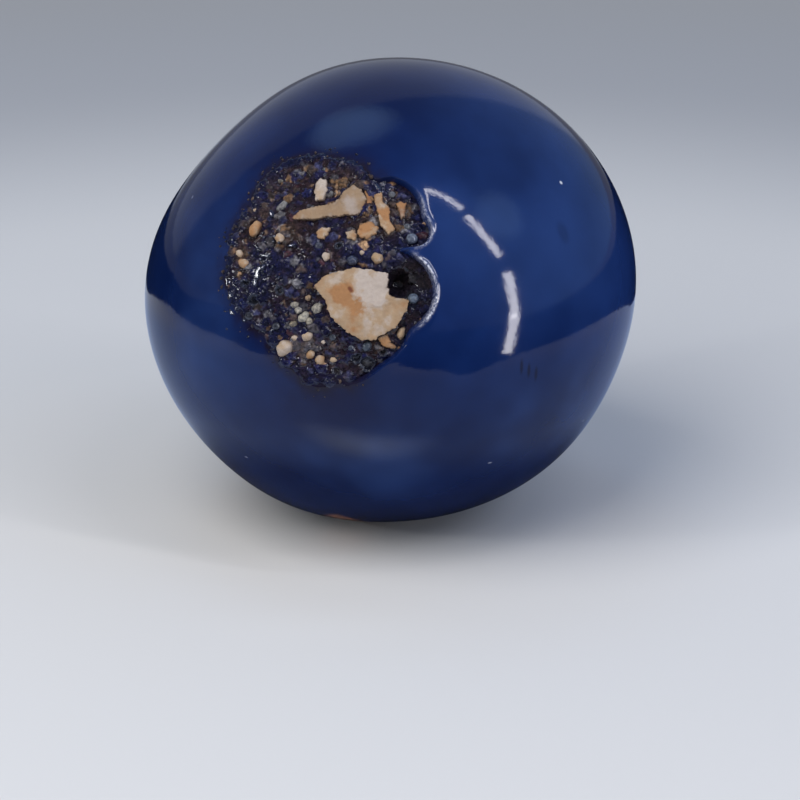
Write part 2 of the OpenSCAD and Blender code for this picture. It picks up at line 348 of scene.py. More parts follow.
def vectorNode(tree, operation, a, b=None):
    node = shaderNode(tree, "VectorMath", {"operation": operation}, {0: a} if b is None else {0: a, 1: b})
    return node.outputs["Value" if operation in ("LENGTH", "DOT_PRODUCT") else "Vector"]


def bumpNode(tree, height, depth, strength=1.0, under=None):
    inputs = {"Height": height, "Distance": depth * mm, "Strength": strength}
    if under is not None:
        inputs["Normal"] = under
    return shaderNode(tree, "Bump", {}, inputs).outputs[0]


def valueOf(tree, name, out="Fac"):
    return shaderNode(tree, "Attribute", {"attribute_name": name}).outputs[out]


glaze = {
    "deep": (0.0023, 0.0086, 0.05), "bright": (0.0065, 0.0225, 0.108), "violet": (0.0075, 0.0072, 0.03),
    # the next line holds the pale blue of the painted glows and the near-white of the painted lip glints
    "paintedGlowTint": (0.026, 0.06, 0.195), "paintedLipGlint": (0.7, 0.71, 0.79), "haze": (0.011, 0.0085, 0.016),
    "rust": (0.42, 0.2, 0.13),
    # painted light: pale blue glows standing in for reflected and bounced light, mottled by the cloud noise:
    # turn, lift, spread, amount
    "mottleAndGlows": [(-6, -21, 13, 1.7), (39, -19, 12, 1.4), (48, 20, 22, 0.4), (-50, 8, 18, 0.85),
               (20, 34, 12, 0.35)],
    # painted highlight: near-white glints along the lip's bead, where it catches the strip lamps: sheet x, y,
    # reach, amount
    "paintedLipGlints": [(3.15, 2.75, 0.6, 0.8), (3.55, 1.6, 0.5, 0.45), (3.1, 0.7, 0.5, 0.95),
                (3.7, 0.2, 0.55, 0.75), (4.0, -0.9, 0.4, 0.7), (3.7, -1.3, 0.5, 0.85)],
    "paintedGlintWidth": 0.055,
    "roughness": 0.075, "cloudSize": 7, "ripple": 0.012, "orangePeel": 0.0024,
    # small pale and dark marks on the skin: sheet x, y, radius, stretch upwards, share, colour
    "marks": [(*at(561, 183, "whole"), 0.075, 1, 0.9, (0.6, 0.62, 0.68)),
              (*at(541, 110, "whole"), 0.08, 1, 0.6, (0.004, 0.004, 0.012)),
              (*at(635, 255, "whole"), 0.08, 1, 0.6, (0.004, 0.004, 0.012)),
              (7.55, -3.1, 0.08, 4, 0.75, (0.002, 0.003, 0.016)),
              (7.9, -3.25, 0.08, 4, 0.75, (0.002, 0.003, 0.016)),
              (8.25, -3.4, 0.08, 4, 0.7, (0.002, 0.003, 0.016)),
              (8.9, 2.75, 0.3, 2, 0.3, (0.002, 0.004, 0.02)),
              (*at(490, 463, "whole"), 0.09, 0.35, 0.7, (0.35, 0.38, 0.48)),
              (*at(246, 457, "whole"), 0.09, 0.35, 0.6, (0.35, 0.38, 0.48)),
              (*at(193, 197, "whole"), 0.07, 1, 0.5, (0.2, 0.22, 0.32)),
              (12.2, -6.5, 0.06, 1, 0.6, (0.3, 0.32, 0.4)),
              (-9.5, -9.0, 0.09, 1, 0.6, (0.01, 0.006, 0.01)),
              (20.5, 6, 0.08, 1, 0.7, (0.3, 0.32, 0.4)), (22, -7, 0.1, 1, 0.6, (0.004, 0.004, 0.012)),
              (-14, 12, 0.08, 1, 0.6, (0.3, 0.32, 0.4)), (3, 19, 0.09, 1, 0.6, (0.004, 0.004, 0.012)),
              (-20, -6, 0.07, 1, 0.6, (0.3, 0.32, 0.4))],
}


def glazeMaterial():
    material, tree, shader = newMaterial("cobaltGlaze", Roughness=glaze["roughness"], IOR=1.5)
    shader.inputs["Specular IOR Level"].default_value = 0.28
    place = objectPlace(tree)
    mottleAndGlows = rangeNode(tree, noiseNode(tree, place, glaze["cloudSize"], 3, 0.55), 0.3, 0.72)
    base = mixColour(tree, mottleAndGlows, glaze["deep"], glaze["bright"])
    streaks = rangeNode(tree, noiseNode(tree, place, 1.6, 4, 0.6), 0.35, 0.75, 0, 0.35)
    base = mixColour(tree, streaks, base, glaze["deep"])
    # painted light: the pale blue glows, mottled by the cloud noise
    base = mixColour(tree, mathNode(tree, "MULTIPLY", valueOf(tree, "paintedGlow"), mottleAndGlows), base, glaze["paintedGlowTint"])
    base = mixColour(tree, valueOf(tree, "burnt"), base, glaze["violet"])
    base = mixColour(tree, valueOf(tree, "haze"), base, glaze["haze"])
    mottled = rangeNode(tree, noiseNode(tree, place, 0.5, 3, 0.6), 0.35, 0.65, 0.65, 1)
    base = mixColour(tree, mathNode(tree, "MULTIPLY", valueOf(tree, "rust"), mottled), base, glaze["rust"])
    # painted highlight: the near-white lip glints, broken into dots by a fine noise
    glintDots = rangeNode(tree, noiseNode(tree, place, 0.11, 2, 0.7), 0.38, 0.62, 0.12, 1)
    base = mixColour(tree, mathNode(tree, "MULTIPLY", valueOf(tree, "paintedLipGlint"), glintDots), base, glaze["paintedLipGlint"])
    for x, y, radius, stretch, share, tint in glaze["marks"]:
        d = onSheet(scarSheet, np.array(x, float), np.array(y, float))
        off = vectorNode(tree, "SUBTRACT", place, d * ballRadius(d) * mm)
        away = vectorNode(tree, "LENGTH", vectorNode(tree, "MULTIPLY", off, (1, 1, 1 / stretch)))
        near = rangeNode(tree, away, 0.4 * radius * mm, 1.3 * radius * mm, share, 0)
        base = mixColour(tree, near, base, tint)
    tree.links.new(base, shader.inputs["Base Color"])
    ripple = bumpNode(tree, noiseNode(tree, place, 2.6, 1), glaze["ripple"])
    peel = bumpNode(tree, noiseNode(tree, place, 0.22, 2), glaze["orangePeel"], 1, ripple)
    tree.links.new(peel, shader.inputs["Normal"])
    return material


clay = {
    "pale": (0.45, 0.385, 0.34), "tan": (0.37, 0.265, 0.17), "orange": (0.34, 0.175, 0.08),
    # edge is the dark of the grit specks and of the painted shade
    "rust": (0.16, 0.055, 0.03), "edge": (0.09, 0.052, 0.035),
}


# Bare clay: pale, tan and orange by the values at its points, mottled by two noises, with painted shade at
# its foot and rim and soaked-in stain by one value
def clayMaterial():
    material, tree, shader = newMaterial("bareClay", Roughness=0.8, IOR=1.45)
    shader.inputs["Specular IOR Level"].default_value = 0.3
    place = objectPlace(tree)
    patches = rangeNode(tree, noiseNode(tree, place, 0.55, 5, 0.65), 0.35, 0.68)
    grit = noiseNode(tree, place, 0.12, 3, 0.6)
    tanShare = mathNode(tree, "MULTIPLY", valueOf(tree, "tan"), mathNode(tree, "ADD", patches, 0.45))
    base = mixColour(tree, rangeNode(tree, tanShare, 0.1, 0.9), clay["pale"], clay["tan"])
    orangeShare = mathNode(tree, "MULTIPLY", valueOf(tree, "orange"), mathNode(tree, "ADD", patches, 0.3))
    base = mixColour(tree, rangeNode(tree, orangeShare, 0.15, 1.0), base, clay["orange"])
    base = mixColour(tree, rangeNode(tree, valueOf(tree, "rust"), 0.2, 0.9), base, clay["rust"])
    base = mixColour(tree, rangeNode(tree, grit, 0.3, 0.75, 0.12, 0), base, clay["edge"])
    # painted shade at the foot and rim, with soaked-in stain and an even dimming, all by one value
    base = mixColour(tree, valueOf(tree, "foot"), base, clay["edge"])
    tree.links.new(base, shader.inputs["Base Color"])
    pores = bumpNode(tree, grit, 0.012)
    lumps = bumpNode(tree, noiseNode(tree, place, 0.4, 3, 0.6), 0.03, 1, pores)
    tree.links.new(lumps, shader.inputs["Normal"])
    return material


# Slag and glass in the scar: colour and dullness by the values at its points, with a fine grain
def slagMaterial(name, roughness, specular, coat=0.0):
    material, tree, shader = newMaterial(name, IOR=1.5)
    shader.inputs["Specular IOR Level"].default_value = specular
    shader.inputs["Coat Weight"].default_value = coat
    shader.inputs["Coat Roughness"].default_value = 0.05
    place = objectPlace(tree)
    fine = noiseNode(tree, place, 0.1, 4, 0.65)
    base = mixColour(tree, rangeNode(tree, fine, 0.3, 0.72), (0.35, 0.35, 0.4), (1.3, 1.25, 1.2))
    tint = mixColour(tree, 1.0, valueOf(tree, "tint", "Color"), base, "MULTIPLY")
    tree.links.new(tint, shader.inputs["Base Color"])
    dull = shaderNode(tree, "MapRange", {},
                      {"Value": valueOf(tree, "dull"), "To Min": roughness, "To Max": 0.75})
    tree.links.new(dull.outputs[0], shader.inputs["Roughness"])
    tree.links.new(bumpNode(tree, noiseNode(tree, place, 0.07, 3), 0.006), shader.inputs["Normal"])
    return material


glazeLook = glazeMaterial()
clayLook = clayMaterial()
slagLook = slagMaterial("bubblySlag", 0.13, 0.42)
beadLook = slagMaterial("glassBead", 0.08, 0.5, 0.15)
print("materials ready")


skin = {
    "spokes": 512, "floorRings": 8, "lipRings": 56, "farRings": 128,
    "lipFrom": -0.5, "lipTo": 0.7,   # the finest rings, either side of the outline
    "buried": 0.9,                    # how far its floor lies under the slag
    "spotSpread": 9,                  # degrees either side of the bare spot with closer rings
}


# Length of the ray at angle a from the scar's middle to its outline: the farthest point where
# the ray leaves a bite, b.u + sqrt(r^2 - |b|^2 + (b.u)^2), averaged over a few degrees
def outlineRay(a):
    total = 0
    for offset in np.radians([-4, -2, 0, 2, 4]):
        u, v = np.cos(a + offset), np.sin(a + offset)
        reach = [bx * u + by * v + np.sqrt(np.maximum(r * r - bx * bx - by * by + (bx * u + by * v) ** 2, 0))
                 * (r * r - bx * bx - by * by + (bx * u + by * v) ** 2 > 0) for bx, by, r in scar["bites"]]
        total = total + np.max(reach, axis=0)
    return total / 5


# Height of the glaze at sheet places. Crisp lip: a bell-shaped bead, then an eased wall down to a floor
# buried under the slag. Soft edge: a wide shallow slope, and the drop only further inside
def glazeRelief(x, y):
    d = outside(x, y)
    crisp = lipShare(x)
    down = ease(-d / scar["lipWidth"]) ** 0.8
    high = scar["upperBead"] + (scar["beadHeight"] - scar["upperBead"]) * ease((1.5 - y) / 0.7)
    bead = high * beadShare(x, y) * np.exp(-((d - scar["beadAt"]) / scar["beadWidth"]) ** 2)
    lip = bead * (1 - down) + (floorHeight(x) - skin["buried"]) * down
    slope = (-scar["softDepth"] * ease(-d / scar["softWidth"])
             - (skin["buried"] + 0.2) * ease((-d - 0.8 * scar["softWidth"]) / 0.35))
    waves = 0.012 * noise(x * 1.1, y * 1.1, 5) * np.exp(-np.abs(d) / 1.5)
    return crisp * lip + (1 - crisp) * slope + waves


# Depth of the bare spot's hollow along directions: eased over a narrow lip, with a low bead round it
def spotRelief(d):
    away = np.arccos(np.clip(d @ spotSheet[0], -1, 1)) * meanRadius
    turn = np.arctan2(d @ spotSheet[2], d @ spotSheet[1])
    edge = away - spot["radius"] * (1 + 0.05 * np.sin(3 * turn + 1) + 0.03 * np.sin(7 * turn))
    return -(spot["depth"] + 0.12) * ease(0.5 - edge / 0.3) + 0.012 * np.exp(-((edge - 0.25) / 0.15) ** 2)


def glazeSkin():
    a = np.arange(skin["spokes"]) * 2 * np.pi / skin["spokes"]
    ray = outlineRay(a)
    inner = np.linspace(0.02, 1, skin["floorRings"], endpoint=False)[:, None] * (ray + skin["lipFrom"])
    lip = ray + np.linspace(skin["lipFrom"], skin["lipTo"], skin["lipRings"])[:, None]
    # far rings lie closer together round the bare spot: their places follow a running sum of density
    t = np.linspace(0, 1, 2000)
    start = 1 / 7
    degrees = 180 * (start + (1 - start) * t)
    spotAway = np.degrees(np.arccos(scarSheet[0] @ spotSheet[0]))
    density = np.cumsum(1 + 2.2 * np.exp(-((degrees - spotAway) / skin["spotSpread"]) ** 2)
                        + 1.5 * np.exp(-t / 0.06))
    share = np.interp(np.arange(1, skin["farRings"] + 1) / (skin["farRings"] + 1), density / density[-1], t)
    farFrom = ray + skin["lipTo"]
    far = farFrom + (np.pi * meanRadius - farFrom) * share[:, None]
    rho = np.concatenate([inner, lip, far])
    x, y = rho * np.cos(a), rho * np.sin(a)
    d = onSheet(scarSheet, x, y)
    relief = glazeRelief(x, y) + spotRelief(d)
    rings = d * ((ballRadius(d) + relief) * mm)[..., None]
    top = lay(scarSheet, 0, 0, glazeRelief(0.0, 0.0))
    bottom = -scarSheet[0] * ballRadius(-scarSheet[0]) * mm
    # burnt tint: dark and brownish along the scar's soft edge and below it, and inside the crisp lip
    off, crisp = outside(x, y), lipShare(x)
    away = np.maximum(off, 0)
    below = np.exp(-((x + 0.5) / 3.5) ** 2 - ((y + 5.6) / 1.7) ** 2)
    patchy = 0.75 + 0.35 * noise(x * 3, y * 3, 8)
    burnt = np.clip((0.8 * np.exp(-away / 0.35) + 0.3 * np.exp(-away / 1.1)) * (1 - crisp) * patchy
                    + 0.6 * below + 0.9 * crisp * ease(-(off + 0.03) / 0.08), 0, 1)
    # a darker haze of burnt crumbs under the glaze, in the soft edge itself
    haze = 0.95 * np.exp(-(away / 0.22) ** 1.5) * (0.75 + 0.45 * noise(x * 7 + 3, y * 7, 12))
    haze = np.clip(haze, 0, 1) * (1 - crisp)
    # painted highlight: near-white glints in a thin band at the lip, by a bell curve round each listed place
    paintedLipGlint = sum(amount * np.exp(-(np.hypot(x - tx, y - ty) / reach) ** 2)
               for tx, ty, reach, amount in glaze["paintedLipGlints"])
    paintedLipGlint = np.clip(paintedLipGlint, 0, 1) * np.exp(-((off - 0.01) / glaze["paintedGlintWidth"]) ** 2)
    paintedLipGlint = paintedLipGlint * crisp * beadShare(x, y) ** 2
    # painted light: a bell curve of the angle from each listed glow
    paintedGlow = sum(amount * np.exp(-(angleFrom(d, turn, lift) / spread) ** 2)
                for turn, lift, spread, amount in glaze["mottleAndGlows"])
    rust = 0.85 * ease((spot["stain"][2] - tongueAway(d)) / 0.35)
    looks = {"burnt": burnt, "paintedGlow": paintedGlow, "haze": haze, "paintedLipGlint": paintedLipGlint, "rust": rust}
    pole = np.zeros((1, 1))
    values = {key: stackRings(pole, v[None, :, :, None], pole) for key, v in looks.items()}
    points = stackRings(top[None], rings[None], bottom[None])
    piece = makePiece("glazeSkin", points, ringFaces(1, len(rho), skin["spokes"]), glazeLook, values)
    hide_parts("marble")
    return piece


glazeSkin()


bed = {
    "seed": 11, "columns": 309, "rows": 315,
    "x": (-4.98, 4.28), "y": (-5.05, 5.0),
    "crumbs": 4600, "smallest": 0.03, "largest": 0.25, "dome": 0.5,
    "glassWave": 0.05, "fillet": 0.055, "warp": 0.06, "blend": 0.08,
    "glass": (0.0065, 0.007, 0.03), "umber": (0.018, 0.0105, 0.015),
    "veil": (0.0045, 0.0078, 0.034), "veilWidth": 0.45,
    # kinds of crumbs: share in plain places, share in rubble, colour, dullness
    "kinds": [(0.46, 0.19, (0.0085, 0.0095, 0.042), 0.0), (0.18, 0.11, (0.027, 0.029, 0.07), 0.05),
              (0.12, 0.12, (0.06, 0.057, 0.07), 0.2), (0.10, 0.17, (0.045, 0.031, 0.03), 0.4),
              (0.045, 0.16, (0.14, 0.08, 0.04), 0.6), (0.015, 0.11, (0.33, 0.21, 0.12), 0.8),
              (0.035, 0.05, (0.036, 0.013, 0.02), 0.3), (0.045, 0.09, (0.17, 0.17, 0.19), 0.3)],
    # rubble: x, y, radius of the places where clay crumbs are thick
    "rubble": [(-3.1, 1.6, 0.8), (-2.1, 1.0, 0.6), (-0.2, 3.3, 0.75), (0.6, 3.4, 0.6), (1.4, 2.5, 0.7),
               (2.35, 2.4, 0.55), (1.2, 1.5, 0.45), (-0.9, -1.7, 0.55), (-0.8, -2.9, 0.6),
               (2.2, -2.4, 0.4), (-2.7, 3.3, 0.5), (-3.6, 0.2, 0.45), (-0.3, -3.4, 0.4),
               (0.7, -4.1, 0.3), (-1.6, 3.2, 0.4)],
    # where brown has soaked into the slag: x, y, radius, share
    "brown": (0.105, 0.066, 0.038),
    "soaked": [(-2.95, 1.65, 0.6, 0.6), (-1.9, 1.25, 0.45, 0.4), (-3.5, 0.25, 0.45, 0.5),
               (2.1, 2.3, 0.5, 0.6), (0.2, 3.3, 0.9, 0.35), (0.1, -0.3, 0.45, 0.3),
               (-0.65, -2.95, 0.55, 0.45), (2.1, -2.5, 0.45, 0.5), (1.2, 1.5, 0.5, 0.45),
               (-2.6, 3.2, 0.5, 0.3), (0.6, -4.0, 0.35, 0.4)],
    # popped bubbles: x, y, radius
    "rings": [(*at(935, 1325), 0.27), (*at(870, 1290), 0.17), (0.45, -3.75, 0.15), (2.2, -2.95, 0.13),
              (*at(290, 950), 0.2), (-3.3, -0.75, 0.13), (0.2, 0.9, 0.12), (-1.9, -0.9, 0.14)],
}


# Height and colours of the slag: a wavy level of dark glass, and crumbs whose domes
# lift * sqrt(1 - q^2) rise through it, q being the lobed distance from a crumb's middle over its
# radius, in places warped by noise
def bedField():
    rng = np.random.default_rng(bed["seed"])
    xs = np.linspace(*bed["x"], bed["columns"])
    ys = np.linspace(*bed["y"], bed["rows"])
    x, y = np.meshgrid(xs, ys)
    deep = lipShare(x) + (1 - lipShare(x)) * ease(-outside(x, y) / 0.8)
    level = floorHeight(x) * deep + bed["glassWave"] * layeredNoise(x * 1.3, y * 1.3, 21)
    level = level + 0.016 * layeredNoise(x * 8, y * 8, 33, 3)
    level = level + 0.035 * (1 - lipShare(x)) * ease(-outside(x, y) / 0.3)
    level = level - scar["pitDepth"] * np.exp(-((np.hypot(x - scar["pit"][0], (y - scar["pit"][1]) * 1.25)
                                                 / scar["pitRadius"]) ** 2) ** 1.5)
    warpX = x + bed["warp"] * noise(x * 7, y * 7, 41) + 0.35 * bed["warp"] * noise(x * 17, y * 17, 42)
    warpY = y + bed["warp"] * noise(x * 7, y * 7, 43) + 0.35 * bed["warp"] * noise(x * 17, y * 17, 44)
    height = level.copy()
    stain = ease(0.5 + 1.2 * layeredNoise(x * 1.1 + 5, y * 1.1 + 5, 51, 3))[..., None]
    tint = bed["glass"] + (np.array(bed["umber"]) - bed["glass"]) * stain
    dull = np.zeros_like(x)
    count = bed["crumbs"]
    cx, cy = rng.uniform(*bed["x"], count), rng.uniform(*bed["y"], count)
    radius = bed["smallest"] + (bed["largest"] - bed["smallest"]) * rng.random(count) ** 3.4
    rubble = np.max([np.exp(-(np.hypot(cx - rx, cy - ry) / r) ** 2) for rx, ry, r in bed["rubble"]], axis=0)
    plain, thick = (np.cumsum([k[n] for k in bed["kinds"]]) for n in (0, 1))
    limits = plain[:, None] + (thick - plain)[:, None] * rubble
    kind = np.minimum(np.sum(rng.random(count) > limits, axis=0), len(bed["kinds"]) - 1)
    lobes, turns = rng.uniform(0.03, 0.15, (2, count)), rng.uniform(0, 6.3, (3, count))
    sunk, shine = rng.uniform(-0.95, 0.05, count) + 0.35 * rubble, rng.uniform(0.6, 1.45, count)
    inPit = np.hypot(cx - scar["pit"][0], cy - scar["pit"][1]) < 0.5
    stepX, stepY = xs[1] - xs[0], ys[1] - ys[0]
    for i in np.flatnonzero((outside(cx, cy) < 0.02 + 0.4 * (1 - lipShare(cx)) * rng.random(count)) & ~inPit):
        # only the window round the crumb is touched
        r, wide = radius[i], radius[i] + bed["warp"] * 1.4
        c0, r0 = int((cx[i] - wide - xs[0]) / stepX), int((cy[i] - wide - ys[0]) / stepY)
        window = (slice(max(r0, 0), r0 + int(2 * wide / stepY) + 3),
                  slice(max(c0, 0), c0 + int(2 * wide / stepX) + 3))
        dx, dy = warpX[window] - cx[i], warpY[window] - cy[i]
        bend = np.arctan2(dy, dx)
        q = np.hypot(dx, dy * (1 + 2 * lobes[0, i])) / r * (
            1 + lobes[0, i] * np.cos(3 * bend + turns[0, i]) + lobes[1, i] * np.cos(5 * bend + turns[1, i]))
        base = level[window].mean() + sunk[i] * r * 0.7
        dome = base + bed["dome"] * r * np.sqrt(np.clip(1 - q * q, 0, 1)) + np.where(q < 1, 0, -9)
        old = height[window]
        over = dome - old
        fillet = np.maximum(bed["fillet"] - np.abs(over), 0) ** 2 / (4 * bed["fillet"])
        share = ease(over / bed["blend"] + 0.25)
        height[window] = np.maximum(old, dome) + fillet
        tint[window] += share[..., None] * (np.array(bed["kinds"][kind[i]][2]) * shine[i] - tint[window])
        dull[window] += share * (bed["kinds"][kind[i]][3] - dull[window])
    for rx, ry, r in bed["rings"]:
        away = np.hypot(warpX - rx, warpY - ry)
        wall = np.exp(-((away - r) / 0.045) ** 2)
        inside = ease((r - away) / 0.06 + 0.5)
        height = height * (1 - inside) + (level - 0.05) * inside + 0.06 * wall
        glassy = np.where(wall > 0.4, 1.0, 0.25)[..., None] * np.array([0.03, 0.036, 0.055])
        tint = tint + np.maximum(wall, inside * 0.8)[..., None] * (glassy - tint)
        dull = dull * (1 - np.maximum(wall, inside))
    # brown-black inside the pit: dark pooled glass, deepened by painted shade of the hollow; and a fine
    # speckle all over
    pit = np.exp(-(np.hypot(x - scar["pit"][0] - 0.25, y - scar["pit"][1]) / 0.95) ** 4)[..., None]
    tint = tint + 0.88 * pit * (np.array([0.011, 0.009, 0.012]) - tint)
    patchy = np.clip(0.6 + 0.9 * layeredNoise(x * 3, y * 3, 68, 3), 0, 1)
    for px, py, r, share in bed["soaked"]:
        near = share * np.exp(-(np.hypot(x - px, y - py) / r) ** 2) * patchy
        tint = tint + near[..., None] * (np.array(bed["brown"]) - tint)
    tint = tint * (1 + 0.5 * layeredNoise(x * 11, y * 11, 61, 3))[..., None]
    # glaze lies thin over the outermost crumbs of the soft edge
    uneven = outside(x, y) + 0.12 * noise(x * 5, y * 5, 66)
    veil = (1 - lipShare(x)) * ease(1 + uneven / bed["veilWidth"]) * 0.85
    tint = tint + veil[..., None] * (np.array(bed["veil"]) - tint)
    return x, y, height, np.maximum(tint, 0.001), dull


def scarBed():
    x, y, height, tint, dull = bedField()
    # outside the outline the slag dips under the glaze: steeply at the lip, and slowly in the soft
    # edge, where its highest crumbs still show as islands
    d, crisp = outside(x, y), lipShare(x)
    slow = 0.22 * np.maximum(d + 0.12, 0) + 2.2 * np.maximum(d - 0.3, 0)
    height = height - crisp * 2.2 * np.maximum(d + 0.02, 0) - (1 - crisp) * slow
    rows, columns = x.shape
    index = np.arange(rows * columns).reshape(rows, columns)
    top = np.stack([index[:-1, :-1], index[:-1, 1:], index[1:, 1:], index[1:, :-1]], -1).reshape(-1, 4)
    loop = np.concatenate([index[0, :-1], index[:-1, -1], index[-1, :0:-1], index[:0:-1, 0]])
    under = rows * columns + np.arange(len(loop))
    wall = np.stack([loop, under, np.roll(under, -1), np.roll(loop, -1)], -1)
    pole = rows * columns + len(loop)
    closing = np.stack([0 * under + pole, np.roll(under, -1), under], -1)
    points = lay(scarSheet, x, y, height).reshape(-1, 3)
    lowered = lay(scarSheet, x.ravel()[loop] * 0.97, y.ravel()[loop] * 0.97, np.full(len(loop), -2.6))
    points = np.concatenate([points, lowered, lay(scarSheet, 0, 0, -2.9)[None]])
    extra = len(points) - rows * columns
    tint = np.concatenate([tint.reshape(-1, 3), np.tile(bed["glass"], (extra, 1))])
    dull = np.concatenate([dull.ravel(), np.zeros(extra)])
    return makePiece("scarBed", points, [top, wall, closing], slagLook,
                     {"tint": tint, "dull": dull})


scarBed()


chips = {
    "spokes": 200, "topRings": 44, "wallRings": 6,
    "root": 0.5, "round": 0.06, "ragged": 0.055, "rim": 0.13,
    # outline, stand over the floor, tan, orange, then stains: x, y, radius, tan, orange, rust,
    # and steps of the broken face: x, y, radius, height
    "list": {
        "mainChip": {
            "outline": placesAt([(50, 1010), (100, 940), (190, 895), (290, 860), (400, 840), (520, 835),
                                 (660, 865), (740, 860), (735, 950), (740, 1050), (770, 1110),
                                 (940, 1140), (925, 1220), (880, 1330), (800, 1420), (720, 1460),
                                 (620, 1510), (520, 1540), (400, 1490), (330, 1440), (260, 1380),
                                 (200, 1310), (170, 1240), (150, 1150), (120, 1110), (70, 1070)], "chip"),
            "stand": 0.28, "tan": 0.95, "orange": 0.36, "dim": 0.03,
            "stains": [(1.6, -0.42, 0.5, -1.2, -0.6, 0), (1.25, -0.1, 0.3, -0.7, -0.35, 0),
                       (1.95, -0.2, 0.35, -0.8, -0.4, 0), (1.75, -0.85, 0.28, -0.9, -0.5, 0),
                       (1.5, -0.7, 0.25, -0.6, -0.4, 0), (0.45, -0.75, 0.34, 0.2, 0.9, 0),
                       (0.75, -1.1, 0.36, 0.1, 0.7, 0), (1.3, -1.35, 0.26, 0, 0.8, 0),
                       (1.2, -1.1, 0.2, 0.1, 0.5, 0), (0.79, -0.62, 0.06, 0, 0.3, 0.8),
                       (0.88, -0.71, 0.07, 0, 0.3, 0.9), (1.55, -1.75, 0.22, -0.5, -0.2, 0),
                       (2.0, -1.5, 0.25, -0.3, -0.2, 0), (1.1, -2.15, 0.2, 0.2, 0.4, 0),
                       (0.15, -0.5, 0.3, -0.2, 0, 0), (1.25, -1.95, 0.5, 0.4, 0.15, 0.05),
                       (2.75, -1.0, 0.25, 0.3, 0.2, 0)],
            "steps": [(1.6, -0.45, 0.8, 0.035), (0.6, -1.05, 0.5, -0.035), (2.6, -1.35, 0.45, -0.03)],
        },
        "longChip": {
            "outline": [at(512, 497), at(560, 451), at(640, 424), at(730, 405), (-0.05, 2.7),
                        (0.1, 3.1), at(850, 300), at(880, 275), at(905, 315), at(925, 375),
                        at(915, 425), at(885, 462), at(800, 468), at(700, 480), at(600, 498)],
            "stand": 0.2, "tan": 0.95, "orange": 0.25, "dim": 0.3,
            "stains": [(0.45, 2.55, 0.4, -0.75, -0.4, 0), (-1.35, 1.85, 0.35, 0.3, 0.4, 0.15),
                       (-0.3, 2.2, 0.25, -0.2, 0, 0), (0.85, 2.6, 0.15, 0.6, 0.4, 0),
                       (0.45, 3.2, 0.2, -0.5, -0.3, 0)],
            "steps": [(0.5, 2.75, 0.45, 0.03)],
        },
        "uprightChip": {
            "outline": [at(640, 300), at(670, 262), at(705, 270), at(705, 330), at(690, 380),
                        at(640, 395)],
            "stand": 0.17, "tan": 0.3, "orange": 0, "stains": [(-0.8, 2.7, 0.25, 0.4, 0, 0)], "steps": [],
        },
        "brownChip": {
            "outline": [at(915, 320), at(960, 310), at(965, 370), at(939, 440), at(912, 459), (1.0, 2.8)],
            "stand": 0.14, "tan": 1.0, "orange": 0.9, "stains": [(1.05, 2.9, 0.25, 0, 0, 0.35)], "steps": [],
        },
        "orangeChip": {
            "outline": [at(975, 355), at(1020, 340), at(1025, 396), at(1059, 424), at(1067, 500),
                        at(1095, 545), at(1060, 580), at(1010, 530), at(990, 450)],
            "stand": 0.2, "tan": 0.9, "orange": 0.6,
            "stains": [(1.4, 2.9, 0.2, -0.3, -0.3, 0), (1.72, 2.3, 0.25, 0.4, 1.0, 0.2),
                       (2.05, 1.65, 0.2, 0, -0.2, 0)],
            "steps": [(1.5, 2.8, 0.25, -0.04)],
        },
        "smallTanChip": {
            "outline": [at(1100, 390), at(1130, 375), at(1155, 400), at(1150, 460), at(1130, 490),
                        at(1120, 440)],
            "stand": 0.16, "tan": 1.0, "orange": 0.8, "stains": [(2.4, 2.5, 0.2, 0, 0.2, 0.3)], "steps": [],
        },
        "ochreChip": {
            "outline": [at(880, 560), at(900, 510), at(950, 500), at(1000, 530), at(990, 570),
                        at(940, 600), at(900, 600)],
            "stand": 0.18, "tan": 1.0, "orange": 1.1, "stains": [(1.35, 1.45, 0.2, 0, -0.7, 0),
                                                                 (0.95, 1.6, 0.1, 0, 0, 0.5)],
            "steps": [(1.2, 1.6, 0.2, 0.03)],
        },
        "paleOchreChip": {
            "outline": [at(805, 560), at(850, 545), at(882, 570), at(867, 605), at(820, 600)],
            "stand": 0.17, "tan": 0.85, "orange": 0.3, "stains": [(0.75, 1.4, 0.12, 0, 0.5, 0)], "steps": [],
        },
        "cornerChip": {
            "outline": [at(645, 570), at(680, 538), at(730, 540), at(690, 610), at(653, 597)],
            "stand": 0.17, "tan": 0.9, "orange": 0.55,
            "stains": [(-0.35, 1.3, 0.15, -0.3, -0.2, 0)], "steps": [],
        },
        "tailChip": {
            "outline": [at(985, 1175), at(1040, 1150), at(1060, 1190), at(1100, 1225), at(1065, 1240),
                        at(1010, 1205)],
            "stand": 0.13, "tan": 1.0, "orange": 0.8, "stains": [(2.5, -2.65, 0.15, 0, 0, 0.4)], "steps": [],
        },
    },
}


# Evenly spaced points round a polygon, smoothed by a moving mean and made ragged by noise
def raggedOutline(outline, spokes, ragged, seed):
    corners = np.array(outline + outline[:1], float)
    along = np.concatenate([[0], np.cumsum(np.hypot(*np.diff(corners, axis=0).T))])
    s = np.arange(spokes) / spokes * along[-1]
    p = np.stack([np.interp(s, along, corners[:, 0]), np.interp(s, along, corners[:, 1])], -1)
    reach = max(1, int(0.05 / (along[-1] / spokes)))
    p = sum(np.roll(p, k, 0) for k in range(-reach, reach + 1)) / (2 * reach + 1)
    middle = p.mean(0)
    out = (p - middle) / np.linalg.norm(p - middle, axis=1)[:, None]
    turn = np.arange(spokes) / spokes * 2 * np.pi
    jag = layeredNoise(40 + 3.2 * np.cos(turn) * along[-1] / 3,
                       40 + 3.2 * np.sin(turn) * along[-1] / 3, seed, 3)
    p = p + out * (jag * ragged)[:, None]
    area = np.sum(p[:, 0] * np.roll(p[:, 1], -1) - np.roll(p[:, 0], -1) * p[:, 1])
    return p[::-1] if area < 0 else p


